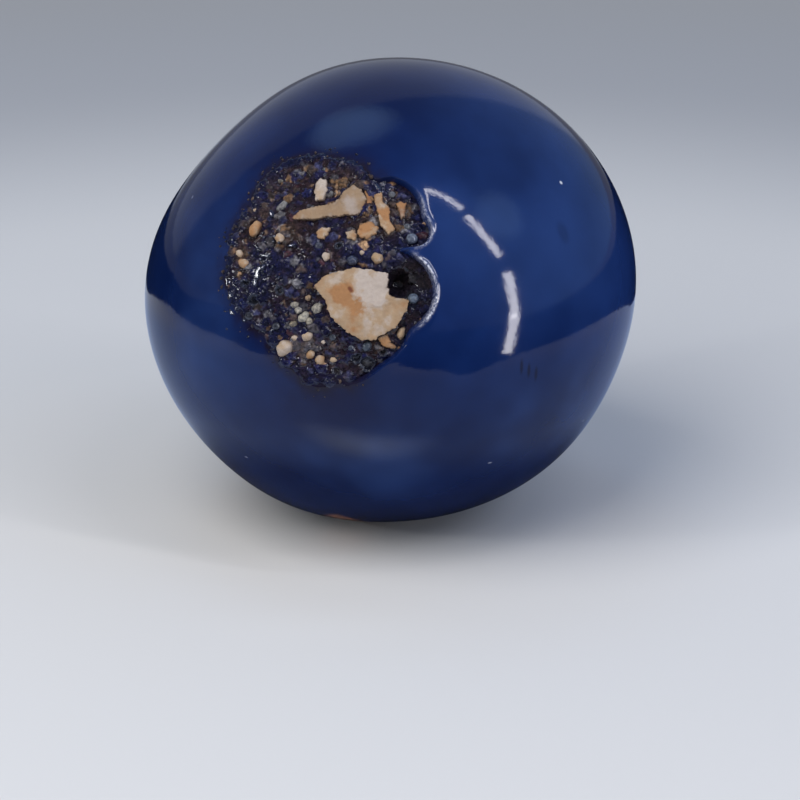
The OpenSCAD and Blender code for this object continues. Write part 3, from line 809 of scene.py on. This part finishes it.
# A chip: its outline drawn in towards its middle ring by ring, at the height of its broken face,
# rounded off near its edge, then straight down to its root
def clayChip(name, chip, seed):
    edge = raggedOutline(chip["outline"], chips["spokes"], chips["ragged"], seed)
    middle = edge.mean(0)
    share = np.concatenate([np.linspace(0.02, 0.86, chips["topRings"] - 14), np.linspace(0.875, 1, 14)])
    flat = middle + (edge - middle) * share[:, None, None]
    inward = np.min(np.linalg.norm(flat[:, :, None] - edge[None, None, ::4], axis=-1), axis=-1)
    x, y = flat[..., 0], flat[..., 1]
    face = 0.014 * layeredNoise(x * 5, y * 5, seed + 1, 4) + 0.03 * noise(x * 1.6, y * 1.6, seed + 2)
    crooked = 0.16 * layeredNoise(x * 2.2, y * 2.2, seed + 5, 3)
    for sx, sy, r, step in chip["steps"]:
        face = face + step * ease((r + crooked - np.hypot(x - sx, y - sy)) / 0.2 + 0.5)
    drop = np.clip(1 - inward / chips["round"], 0, 1)
    rounded = chips["round"] * (1 - np.sqrt(np.clip(1 - drop * drop, 0, 1)))
    height = floorHeight(x) + chip["stand"] + face - rounded
    down = np.linspace(0, 1, chips["wallRings"] + 1)[1:, None]
    wallX = x[-1] + (edge[:, 0] - middle[0]) * 0.04 * down
    wallY = y[-1] + (edge[:, 1] - middle[1]) * 0.04 * down
    wall = height[-1] - down * (chip["stand"] + chips["root"])
    rings = np.concatenate([lay(scarSheet, x, y, height), lay(scarSheet, wallX, wallY, wall)])
    top = lay(scarSheet, *middle, height[0].mean())
    bottom = lay(scarSheet, *middle, wall[-1].mean() - 0.05)
    allX, allY = np.concatenate([x, wallX]), np.concatenate([y, wallY])
    mottle = {"tan": chip["tan"] + 0 * allX, "orange": chip["orange"] + 0 * allX, "rust": 0 * allX}
    for sx, sy, r, tan, orange, rust in chip["stains"]:
        blot = r * (1 + 0.5 * layeredNoise(allX * 3, allY * 3, seed + 7, 3))
        bell = np.exp(-(np.hypot(allX - sx, allY - sy) / blot) ** 2)
        for key, amount in (("tan", tan), ("orange", orange), ("rust", rust)):
            mottle[key] = mottle[key] + amount * bell
    # brown stains creep in from the rim, where the slag has soaked in
    patchy = np.clip(0.45 + 1.1 * layeredNoise(x * 2.6, y * 2.6, seed + 8, 3), 0, 1)
    soaked = np.exp(-inward / chips["rim"]) * patchy
    mottle["rust"][:len(x)] += 0.42 * soaked
    # painted shade: darker at the rounded rim and down the walls below; soaked-in stain and the chip's
    # dimming are added in
    foot = 0.5 * drop ** 2 + 0.25 * soaked + chip.get("dim", 0)
    mottle["foot"] = np.concatenate([foot, np.clip(0.35 + 2.5 * down, 0, 0.9) + 0 * wallX])
    values = {key: stackRings(v[:1, 0], v[None, :, :, None], v[-1:, 0]) for key, v in mottle.items()}
    points = stackRings(top[None], rings[None], bottom[None])
    return makePiece(name, points, ringFaces(1, len(allX), chips["spokes"]), clayLook, values)


for order, (name, chip) in enumerate(chips["list"].items()):
    clayChip(name, chip, 100 + 10 * order)


grains = {
    "rings": 15, "spokes": 26, "stand": 0.52, "seed": 5,
    # x, y, length, width, turn of the length, tan, orange
    "clay": rowsAt([(697, 703, 0.36, 0.34, 0, 0.7, 0.1), (990, 710, 0.46, 0.42, 20, 0.85, 0.35),
                    (465, 1225, 0.66, 0.6, 30, 0.6, 0), (587, 1160, 0.42, 0.4, 0, 0.55, 0),
                    (605, 1265, 0.42, 0.3, 70, 0.9, 0.6), (660, 1300, 0.42, 0.34, 50, 0.9, 0.5),
                    (735, 1300, 0.28, 0.24, 0, 0.5, 0), (305, 550, 0.6, 0.46, 70, 0.95, 0.75),
                    (440, 600, 0.42, 0.36, 40, 0.9, 0.5), (215, 690, 0.38, 0.32, 0, 0.6, 0.1),
                    (240, 745, 0.44, 0.38, 0, 0.95, 0.7), (310, 445, 0.34, 0.28, 45, 0.7, 0.3),
                    (1130, 1150, 0.46, 0.3, 70, 0.9, 0.3), (815, 1416, 0.36, 0.26, 0, 0.95, 0.8),
                    (520, 1170, 0.26, 0.24, 0, 0.6, 0.1), (903, 678, 0.2, 0.2, 0, 0.6, 0.2),
                    (677, 1195, 0.2, 0.18, 0, 0.5, 0), (695, 1419, 0.28, 0.2, 30, 0.9, 0.6)]),
    # x, y, length, width, turn of the length, colour, dullness
    "pale": rowsAt([(570, 1050, 0.46, 0.34, 55, (0.38, 0.365, 0.31), 0.6),
                    (645, 1000, 0.44, 0.36, 20, (0.29, 0.275, 0.235), 0.6),
                    (520, 980, 0.3, 0.26, 0, (0.26, 0.245, 0.21), 0.5),
                    (510, 1090, 0.3, 0.26, 0, (0.24, 0.21, 0.16), 0.5),
                    (455, 420, 0.5, 0.32, 50, (0.2, 0.2, 0.2), 0.4),
                    (540, 1010, 0.34, 0.26, 30, (0.36, 0.345, 0.3), 0.6),
                    (600, 1075, 0.3, 0.28, 10, (0.3, 0.28, 0.23), 0.6),
                    (595, 940, 0.26, 0.22, 80, (0.28, 0.2, 0.13), 0.6),
                    (445, 278, 0.24, 0.2, 0, (0.16, 0.15, 0.13), 0.4),
                    (425, 240, 0.2, 0.18, 0, (0.12, 0.12, 0.11), 0.4),
                    (645, 1225, 0.22, 0.2, 0, (0.2, 0.18, 0.14), 0.5)]) + [
               (-0.2, 3.0, 0.3, 0.2, 40, (0.17, 0.14, 0.13), 0.5),
               (-0.45, 2.95, 0.24, 0.2, 120, (0.13, 0.13, 0.13), 0.4),
               (0.1, 3.5, 0.2, 0.18, 0, (0.16, 0.13, 0.12), 0.5)],
    "glass": rowsAt([(1193, 597, 0.46, 0.45, 0, (0.12, 0.145, 0.2), 0.05),
                     (1200, 945, 0.42, 0.4, 0, (0.1, 0.13, 0.18), 0.05),
                     (1077, 340, 0.3, 0.28, 0, (0.13, 0.14, 0.16), 0.1),
                     (1165, 527, 0.3, 0.28, 0, (0.1, 0.11, 0.13), 0.1),
                     (890, 205, 0.36, 0.32, 0, (0.12, 0.125, 0.13), 0.1),
                     (700, 205, 0.38, 0.3, 20, (0.13, 0.14, 0.15), 0.1),
                     (845, 725, 0.44, 0.4, 0, (0.045, 0.055, 0.09), 0.05),
                     (655, 640, 0.34, 0.3, 0, (0.05, 0.055, 0.08), 0.05),
                     (930, 1225, 0.42, 0.36, 60, (0.06, 0.075, 0.1), 0.05)]) + [
               (0.25, -2.5, 0.3, 0.28, 0, (0.05, 0.06, 0.08), 0.1),
               (0.95, -2.85, 0.3, 0.26, 0, (0.045, 0.055, 0.08), 0.1),
               (-1.95, -2.25, 0.34, 0.3, 30, (0.04, 0.045, 0.06), 0.1),
               (-3.05, -1.95, 0.4, 0.36, 0, (0.03, 0.033, 0.045), 0.1),
               (0.55, 3.75, 0.22, 0.2, 0, (0.11, 0.1, 0.1), 0.2)],
}


# Grains of one kind as one mesh. Each is a lobed ball, squashed to its stand and rooted in the floor:
# (length/2 cos v sin u, width/2 sin v sin u, stand cos u), times 1 plus two random waves
def grainPiece(name, listed, material, lumpy, values, height=0.0):
    rng = np.random.default_rng(grains["seed"] + len(listed))
    g = np.array([row[:5] for row in listed], float)[:, :, None, None]
    u = np.linspace(0, np.pi, grains["rings"] + 2)[1:-1, None]
    v = np.arange(grains["spokes"]) * 2 * np.pi / grains["spokes"]
    phase = rng.uniform(0, 6.3, (4, len(listed), 1, 1))
    ripples = (np.sin(2 * v + phase[0]) * np.sin(u) + 0.7 * np.sin(3 * v + 2 * u + phase[1]) * np.sin(u)
               + 0.6 * np.sin(5 * v - 3 * u + phase[2]) * np.sin(u) ** 2
               + 0.5 * np.sin(4 * u + phase[3]) * np.sin(u))
    wave = 1 + lumpy * ripples
    across, deep = g[:, 2] / 2 * np.cos(v) * np.sin(u) * wave, g[:, 3] / 2 * np.sin(v) * np.sin(u) * wave
    turn = np.radians(g[:, 4])
    x = g[:, 0] + across * np.cos(turn) - deep * np.sin(turn)
    y = g[:, 1] + across * np.sin(turn) + deep * np.cos(turn)
    stand = grains["stand"] * g[:, 3]
    base = floorHeight(g[:, 0]) + 0.1 * stand + height
    h = base + stand * np.cos(u) * np.where(np.cos(u) < 0, 1.2, wave)
    poles = [lay(scarSheet, g[:, 0, 0, 0], g[:, 1, 0, 0], (base + side * stand)[:, 0, 0])
             for side in (1, -1.2)]
    points = stackRings(poles[0], lay(scarSheet, x, y, h), poles[1])
    count = grains["rings"] * grains["spokes"] + 2
    crown = stackRings(np.ones((len(listed), 1)), (ease((np.cos(u) + 0.1) / 0.8) + 0 * x)[..., None],
                       np.zeros((len(listed), 1)))
    return makePiece(name, points, ringFaces(len(listed), grains["rings"], grains["spokes"]), material,
                     values(count, crown.reshape(-1)))


# Values of clay grains: their own tan and orange, and painted shade darkening the foot
def clayValues(count, crown):
    rows = np.array([row[5:7] for row in grains["clay"]])
    tan, orange = np.repeat(rows, count, 0).T
    return {"tan": tan, "orange": orange, "rust": 0 * tan, "foot": 0.85 * (1 - crown)}


# Values of pale grains and glass: their own colour, with painted shade darkening it towards the foot
def tintValues(listed):
    def values(count, crown):
        tints = np.repeat(np.array([row[5] for row in listed]), count, 0)
        # painted shade: 0.3 of the colour at the foot, full at the crown
        return {"tint": tints * (0.3 + 0.7 * crown[:, None]),
                "dull": np.repeat([row[6] for row in listed], count)}
    return values


grainPiece("clayGrains", grains["clay"], clayLook, 0.09, clayValues)
grainPiece("paleGrains", grains["pale"], slagLook, 0.1, tintValues(grains["pale"]))
grainPiece("glassBeads", grains["glass"], beadLook, 0.02, tintValues(grains["glass"]))


stray = {
    "seed": 23, "tries": 900, "kept": 130,
    "reach": 0.3,                    # how far from the outline most of it lies
    "smallest": 0.05, "largest": 0.16,
    "colours": [(0.008, 0.008, 0.02), (0.008, 0.008, 0.02), (0.02, 0.018, 0.035), (0.03, 0.024, 0.03),
                (0.03, 0.026, 0.034), (0.05, 0.034, 0.028), (0.09, 0.062, 0.045)],
}


# Fine grit caught in the glaze along the soft edge: thinning out away from the outline as exp(-d / reach)
def strayGrit():
    rng = np.random.default_rng(stray["seed"])
    x, y = rng.uniform(-5.2, 2.2, stray["tries"] * 8), rng.uniform(-5.4, 5.2, stray["tries"] * 8)
    d = outside(x, y)
    likely = np.exp(-np.abs(d - 0.04) / stray["reach"]) * (1 - lipShare(x)) ** 2 * (d > -0.25) * (d < 0.55)
    likely = likely * (0.25 + 0.75 * ease((y + 3.5) / 2))
    place = np.flatnonzero(rng.random(len(x)) < 0.5 * likely)[:stray["kept"]]
    size = stray["smallest"] + (stray["largest"] - stray["smallest"]) * rng.random(len(place)) ** 2.5
    size = size * np.exp(-np.maximum(d[place], 0) / 0.9)
    listed = [(x[i], y[i], s * rng.uniform(1, 1.6), s, rng.uniform(0, 180),
               stray["colours"][rng.integers(len(stray["colours"]))], 0.4) for i, s in zip(place, size)]
    under = glazeRelief(x[place], y[place]) - floorHeight(x[place]) - 0.12 * size
    grainPiece("strayGrit", listed, slagLook, 0.1, tintValues(listed), under[:, None, None])


strayGrit()


kilnSpot = {"rings": 60, "spokes": 160, "brown": (0.21, 0.105, 0.055), "dark": (0.07, 0.03, 0.02)}


# A disc of rough clay in the hollow: layered noise over its depth, its rim turned down under the glaze
def spotClay():
    a = np.arange(kilnSpot["spokes"]) * 2 * np.pi / kilnSpot["spokes"]
    rho = np.linspace(0.02, 1.32, kilnSpot["rings"])[:, None]
    x, y = rho * np.cos(a), rho * np.sin(a)
    rough = layeredNoise(x * 3 + 9, y * 3 + 9, 70) * 0.6 + 0.25 * layeredNoise(x * 14, y * 14, 75, 2)
    h = -spot["depth"] * 0.8 + spot["rough"] * rough - 0.9 * np.maximum(rho - 1.16, 0)
    lower = lay(spotSheet, x[-1:] * 0.98, y[-1:] * 0.98, -0.8)
    rings = np.concatenate([lay(spotSheet, x, y, h), lower])
    shade = 0.5 + 0.5 * layeredNoise(x * 4, y * 4, 81) - 0.5 * ease((rho - 0.85) / 0.3)
    shade = np.clip(shade, 0, 1)[..., None]
    tint = kilnSpot["dark"] + (np.array(kilnSpot["brown"]) - kilnSpot["dark"]) * shade
    tint = stackRings(tint[:1, 0], np.concatenate([tint, tint[-1:]])[None], tint[:1, 0])
    top, bottom = (lay(spotSheet, 0, 0, height)[None] for height in (h[0].mean(), -0.9))
    points = stackRings(top, rings[None], bottom)
    dull = np.full(points.shape[1], 0.9)
    return makePiece("spotClay", points, ringFaces(1, kilnSpot["rings"] + 1, kilnSpot["spokes"]), slagLook,
                     {"tint": tint, "dull": dull})


spotClay()
print("pieces ready")


shards = {
    "seed": 31, "rings": 5, "spokes": 14, "stand": 0.16, "grown": 1.3,
    # broken glass faces: sheet x, y, length, width, turn
    "list": [(*at(320, 800), 0.42, 0.2, 75), (-2.85, -0.66, 0.3, 0.15, 100),
             (*at(360, 702), 0.34, 0.1, 5), (-2.6, -0.12, 0.16, 0.1, 60), (*at(330, 670), 0.14, 0.1, 0),
             (*at(400, 470), 0.2, 0.12, 130), (*at(505, 645), 0.22, 0.07, 20),
             (*at(170, 925), 0.22, 0.14, 80), (*at(215, 990), 0.24, 0.13, 40),
             (*at(180, 1020), 0.2, 0.11, 150), (*at(350, 1105), 0.16, 0.1, 80),
             (-3.75, -0.9, 0.14, 0.1, 0), (-3.95, -0.75, 0.12, 0.1, 0), (-3.2, -2.1, 0.14, 0.08, 30),
             (-2.3, 1.05, 0.14, 0.07, 170)],
    "few": 44, "fewX": (-4.1, -1.9), "fewY": (-2.7, 1.2), "fewSize": (0.035, 0.09),
}


# Facets of broken glass, each a shallow lens on a short wall. All are turned so that the spark lamp
# flashes in them: their normals lie half-way between the ways to the camera and to the lamp
def glassShards():
    rng = np.random.default_rng(shards["seed"])
    ranges = [shards["fewX"], shards["fewY"], shards["fewSize"], shards["fewSize"], (0, 180)]
    few = [[rng.uniform(*ends) for ends in ranges] for shard in range(shards["few"])]
    g = np.array(shards["list"] + few)
    g[:, 2:4] *= shards["grown"]
    sparkPoint, sparkWay = mirrored(*spark["seen"])
    lampPlace = sparkPoint + sparkWay * spark["away"]
    middle = lay(scarSheet, g[:, 0], g[:, 1], floorHeight(g[:, 0]) + shards["stand"]) / mm
    half = unit(eyePlace - middle) + unit(lampPlace - middle)
    normal = unit(half + rng.normal(0, 0.012, half.shape))
    side = unit(np.cross([0, 0, 1.0], normal))
    upward = np.cross(normal, side)
    a = np.arange(shards["spokes"]) * 2 * np.pi / shards["spokes"]
    ragged = 1 + 0.3 * rng.uniform(-1, 1, (len(g), 1, shards["spokes"]))
    share = np.array([0.35, 0.7, 1.0, 1.04, 0.9])[:, None]
    sink = np.array([0.0, 0.002, 0.006, 0.03, 0.3])[:, None]
    u = g[:, 2, None, None] / 2 * np.cos(a) * ragged * share
    v = g[:, 3, None, None] / 2 * np.sin(a) * ragged * share
    turn = np.radians(g[:, 4])[:, None, None]
    u, v = u * np.cos(turn) - v * np.sin(turn), u * np.sin(turn) + v * np.cos(turn)

    def across(way, amount):
        return way[:, None, None] * amount[..., None]
    rings = middle[:, None, None] + across(side, u) + across(upward, v) - across(normal, sink + 0 * u)
    points = stackRings(middle * mm, rings * mm, (middle - 0.32 * normal) * mm)
    count = shards["rings"] * shards["spokes"] + 2
    tint = np.repeat(rng.uniform(0.6, 1.6, (len(g), 1)), count, 0) * [0.02, 0.024, 0.045]
    makePiece("glassShards", points, ringFaces(len(g), shards["rings"], shards["spokes"]), beadLook,
              {"tint": tint, "dull": np.zeros(len(tint))})


studio = {
    "lowest": -8.9, "floorRadius": 3000, "floorPale": (0.66, 0.655, 0.65), "floorFar": (0.47, 0.47, 0.48),
    "paleTo": 36, "farFrom": 66, "backdrop": (0.31, 0.315, 0.325), "backdropFrom": 60, "backdropTo": 130,
    "world": (0.12, 0.135, 0.16), "dimmed": 0.5,
}


def floor():
    turn = np.arange(96) * 2 * np.pi / 96
    rim = studio["floorRadius"] * np.stack([np.cos(turn), np.sin(turn)], -1)
    points = np.concatenate([[[0, 0]], rim])
    points = np.hstack([points, np.full((97, 1), studio["lowest"])]) * mm
    faces = np.stack([np.zeros(96, int), 1 + np.arange(96), 1 + (np.arange(96) + 1) % 96], -1)
    material, tree, shader = newMaterial("paleFloor", Roughness=0.9)
    shader.inputs["Specular IOR Level"].default_value = 0.2
    away = vectorNode(tree, "LENGTH", objectPlace(tree))
    share = rangeNode(tree, away, studio["paleTo"] * mm, studio["farFrom"] * mm)
    tint = mixColour(tree, share, studio["floorPale"], studio["floorFar"])
    tree.links.new(tint, shader.inputs["Base Color"])
    # far off it is a plain backdrop, the same wherever it is looked at, and dimmer in the gloss
    ray = shaderNode(tree, "LightPath").outputs
    seen = mathNode(tree, "MAXIMUM", mathNode(tree, "MAXIMUM", ray["Is Camera Ray"], ray["Is Glossy Ray"]),
                    ray["Is Transmission Ray"])
    far = rangeNode(tree, away, studio["backdropFrom"] * mm, studio["backdropTo"] * mm)
    lost = mathNode(tree, "MULTIPLY", ray["Is Glossy Ray"], studio["dimmed"])
    backdrop = shaderNode(tree, "Emission", {}, {"Color": colour(studio["backdrop"]),
                                                 "Strength": mathNode(tree, "SUBTRACT", 1.0, lost)})
    mixed = shaderNode(tree, "MixShader", {}, {0: mathNode(tree, "MULTIPLY", seen, far),
                                               1: shader.outputs[0], 2: backdrop.outputs[0]})
    tree.links.new(mixed.outputs[0], tree.nodes["Material Output"].inputs["Surface"])
    mesh = bpy.data.meshes.new("floor")
    mesh.from_pydata(points.tolist(), [], faces.tolist())
    mesh.materials.append(material)
    piece = bpy.data.objects.new("floor", mesh)
    bpy.context.scene.collection.objects.link(piece)


# Where the ball is seen at a turn and a lift, and the way a ray from the camera leaves it there:
# r = d - 2 (d.n) n, with n square to two small steps over the surface
def mirrored(turn, lift):
    def surface(t, l):
        d = direction(t, l)
        return d * ballRadius(d)
    point = surface(turn, lift)
    normal = np.cross(surface(turn + 0.01, lift) - point, surface(turn, lift + 0.01) - point)
    normal, d = unit(normal), unit(point - eyePlace)
    return point, d - 2 * (d @ normal) * normal


# A flat lamp that faces the ball, at a distance, seen in the glaze from one place to another
def lamp(name, seenFrom, seenTo, away, width, radiance, tint, mirrors=True, lights=True):
    (p, r), (q, s) = mirrored(*seenFrom), mirrored(*seenTo)
    a, b = p + r * away, q + s * away
    middle, along = (a + b) / 2, (b - a)
    length = max(np.linalg.norm(along), width)
    light = bpy.data.lights.new(name, "AREA")
    light.shape = "RECTANGLE"
    light.size, light.size_y = length * mm, width * mm
    light.energy = radiance * np.pi * light.size * light.size_y
    light.color = tint
    piece = bpy.data.objects.new(name, light)
    zWay = unit(middle)
    xWay = unit(along) if np.linalg.norm(along) > 1 else np.cross([0, 0, 1.0], zWay)
    xWay = unit(xWay - (xWay @ zWay) * zWay)
    yWay = np.cross(zWay, xWay)
    turnTo = np.eye(4)
    turnTo[:3, 0], turnTo[:3, 1], turnTo[:3, 2], turnTo[:3, 3] = xWay, yWay, zWay, middle * mm
    piece.matrix_world = Matrix(turnTo.tolist())
    piece.visible_camera = False
    piece.visible_glossy = mirrors
    piece.visible_diffuse = lights
    bpy.context.scene.collection.objects.link(piece)
    print(name, "at", np.round(middle), "length", round(float(length), 1))


spark = {"seen": turnAt(256, 274), "away": 150}
glassShards()

lamps = [
    # name, seen from (turn, lift), seen to, distance, width, radiance, tint, and whether it is seen in
    # the glaze and lights dull things, which it does unless it says otherwise
    ("keyBox", (-17, 33), (-17, 33), 180, 150, 4.4, (1, 0.98, 0.95), False),
    ("topStrip", turnAt(421, 189), turnAt(462, 209), 150, 6, 20, (1, 0.97, 1)),
    ("shoulderStrip", turnAt(466, 217), turnAt(500, 257), 150, 8, 20, (1, 0.97, 1)),
    ("sideStrip", turnAt(507, 272), (29.2, 10.6), 70, 5.4, 20, (1, 0.97, 1), True, False),
    ("lowerStrip", (29.1, 11.0), (26.9, 2.6), 27, 2.6, 19, (1, 0.97, 1), True, False),
    ("fillBox", (28.5, 14), (28.5, 14), 180, 80, 5, (1, 0.98, 1), False),
    ("sparkLamp", spark["seen"], spark["seen"], spark["away"], 10, 90, (0.95, 0.97, 1)),
]


# World light: a soft level, with soft round glows where the glaze is to look paler
glows = [
    # seen at (turn, lift), inner and outer half-angle, radiance
    (turnAt(353, 127), 1, 16.5, (0.6, 0.95, 1.5)),
    ((50, 30), 25, 70, (0.08, 0.18, 0.38)),
    ((31, 33.5), 6, 13, (0.38, 0.62, 1.0)),
    ((178, 0), 12, 46, (0.04, 0.044, 0.05)),
    ((-163, 14), 38, 43, (0.19, 0.195, 0.21)),
]


def worldLight():
    world = bpy.data.worlds.new("studioWorld")
    bpy.context.scene.world = world
    world.use_nodes = True
    tree = world.node_tree
    place = shaderNode(tree, "TexCoord").outputs["Generated"]
    total = shaderNode(tree, "RGB").outputs[0]
    total.default_value = colour(studio["world"])
    for (turn, lift), inner, outer, radiance in glows:
        way = mirrored(turn, lift)[1] if abs(turn) < 90 else direction(turn, lift)
        near = vectorNode(tree, "DOT_PRODUCT", place, way)
        share = rangeNode(tree, near, np.cos(np.radians(outer)), np.cos(np.radians(inner)))
        total = mixColour(tree, share, total, radiance, "ADD")
    tree.links.new(total, tree.nodes["Background"].inputs["Color"])


def camera():
    data = bpy.data.cameras.new("camera")
    data.lens, data.sensor_width = eye["lens"], eye["film"]
    data.clip_start, data.clip_end = 0.001, 50
    piece = bpy.data.objects.new("camera", data)
    piece.location = eyePlace * mm
    # it looks at the middle of its frame, which lies off the ball's middle by this much
    across, down = (eye["across"] / 2 - np.array(eye["middle"])) / perMm
    aim = across * viewRight - down * viewUp - eyePlace
    piece.rotation_euler = Vector(aim).to_track_quat("-Z", "Y").to_euler()
    bpy.context.scene.collection.objects.link(piece)
    bpy.context.scene.camera = piece


card = {
    # the bow from left to right: turn, distance, height of its top
    "bow": [(-176, 30, -8.85), (-163, 31, -3), (-140, 34, 0), (-114, 48.5, -1), (-96, 48.3, -2),
            (-75, 45, 1.5), (-50, 43, 1.5), (2, 43, 1.5), (28, 29, 1.5), (54, 40, 1.5), (83, 43, 1.5),
            (107, 39, 1), (135, 28.6, 2), (160, 27.5, 0), (172, 27, -8.85)],
    "bottom": -8.85, "steps": 72, "dark": (0.006, 0.008, 0.014), "matRadius": 41, "matSpokes": 96,
    # the mat turns from dark to blue-grey, and to the floor's own tone, between these distances
    "toBlue": (7.2, 11.8), "toPale": (26, 40), "matBlue": (0.47, 0.54, 0.7), "matPaintedShadow": (0.09, 0.09, 0.1),
    # a soft light patch on the mat: its middle, half-widths and radiance
    "patch": (-2.2, -11.7), "patchWide": 7, "patchDeep": 2.3, "patchLight": 1.0, "patchTint": (0.9, 0.95, 1),
}


# A dull sheet, from points and faces, that is seen only in the gloss of the ball
def cardPiece(name, points, faces, tint):
    material, tree, shader = newMaterial(name, Roughness=0.95)
    shader.inputs["Base Color"].default_value = colour(tint)
    shader.inputs["Specular IOR Level"].default_value = 0.05
    mesh = bpy.data.meshes.new(name)
    mesh.from_pydata(points.tolist(), [], faces.tolist())
    mesh.materials.append(material)
    piece = bpy.data.objects.new(name, mesh)
    piece.visible_camera = piece.visible_diffuse = piece.visible_shadow = piece.visible_transmission = False
    bpy.context.scene.collection.objects.link(piece)
    return tree, shader


# A dark card in a bow round the ball, so that the glaze has a deep band to mirror above the floor: at
# every step it stands at the turn's distance, from the bottom to its top, both straight between rows
def darkCard():
    turn, away, top = np.array(card["bow"], float).T
    steps = card["steps"]
    a = np.linspace(turn[0], turn[-1], steps + 1)
    way = direction(a, 0 * a).T * np.interp(a, turn, away)[:, None]
    lower = way + [0, 0, card["bottom"]]
    upper = way + np.interp(a, turn, top)[:, None] * [0, 0, 1]
    k = np.arange(steps)
    faces = np.stack([k, k + 1, k + steps + 2, k + steps + 1], -1)
    cardPiece("darkCard", np.concatenate([lower, upper]) * mm, faces, card["dark"])


# A round mat on the floor under the ball, seen only in the gloss: a painted shadow, the deep tone it mirrors
# underneath.
# Its colour eases from dark to blue-grey to the floor's own with the distance, and a light patch fades from
# its middle as an eased share of (x / wide, y / deep)
def paintedShadowMat():
    turn = np.arange(card["matSpokes"]) * 2 * np.pi / card["matSpokes"]
    points = card["matRadius"] * np.stack([np.cos(turn), np.sin(turn), 0 * turn], -1) + [0, 0, card["bottom"]]
    faces = np.arange(card["matSpokes"])[None]
    tree, shader = cardPiece("paintedShadowMat", points * mm, faces, studio["floorPale"])
    away = vectorNode(tree, "LENGTH", objectPlace(tree))
    # painted shadow: the mat's dark middle
    tint = card["matPaintedShadow"]
    for start, end, outer in ((*card["toBlue"], card["matBlue"]), (*card["toPale"], studio["floorPale"])):
        near, far = np.hypot([start, end], card["bottom"]) * mm
        tint = mixColour(tree, rangeNode(tree, away, near, far), tint, outer)
    tree.links.new(tint, shader.inputs["Base Color"])
    off = vectorNode(tree, "SUBTRACT", objectPlace(tree), Vector((*card["patch"], 0)) * mm)
    spread = (1 / card["patchWide"] / mm, 1 / card["patchDeep"] / mm, 0)
    off = vectorNode(tree, "LENGTH", vectorNode(tree, "MULTIPLY", off, spread))
    shader.inputs["Emission Color"].default_value = colour(card["patchTint"])
    tree.links.new(rangeNode(tree, off, 0, 1, card["patchLight"], 0), shader.inputs["Emission Strength"])


floor()
darkCard()
paintedShadowMat()
for row in lamps:
    lamp(*row)
worldLight()
camera()
bpy.context.scene.view_settings.view_transform = "Standard"
print("studio ready")
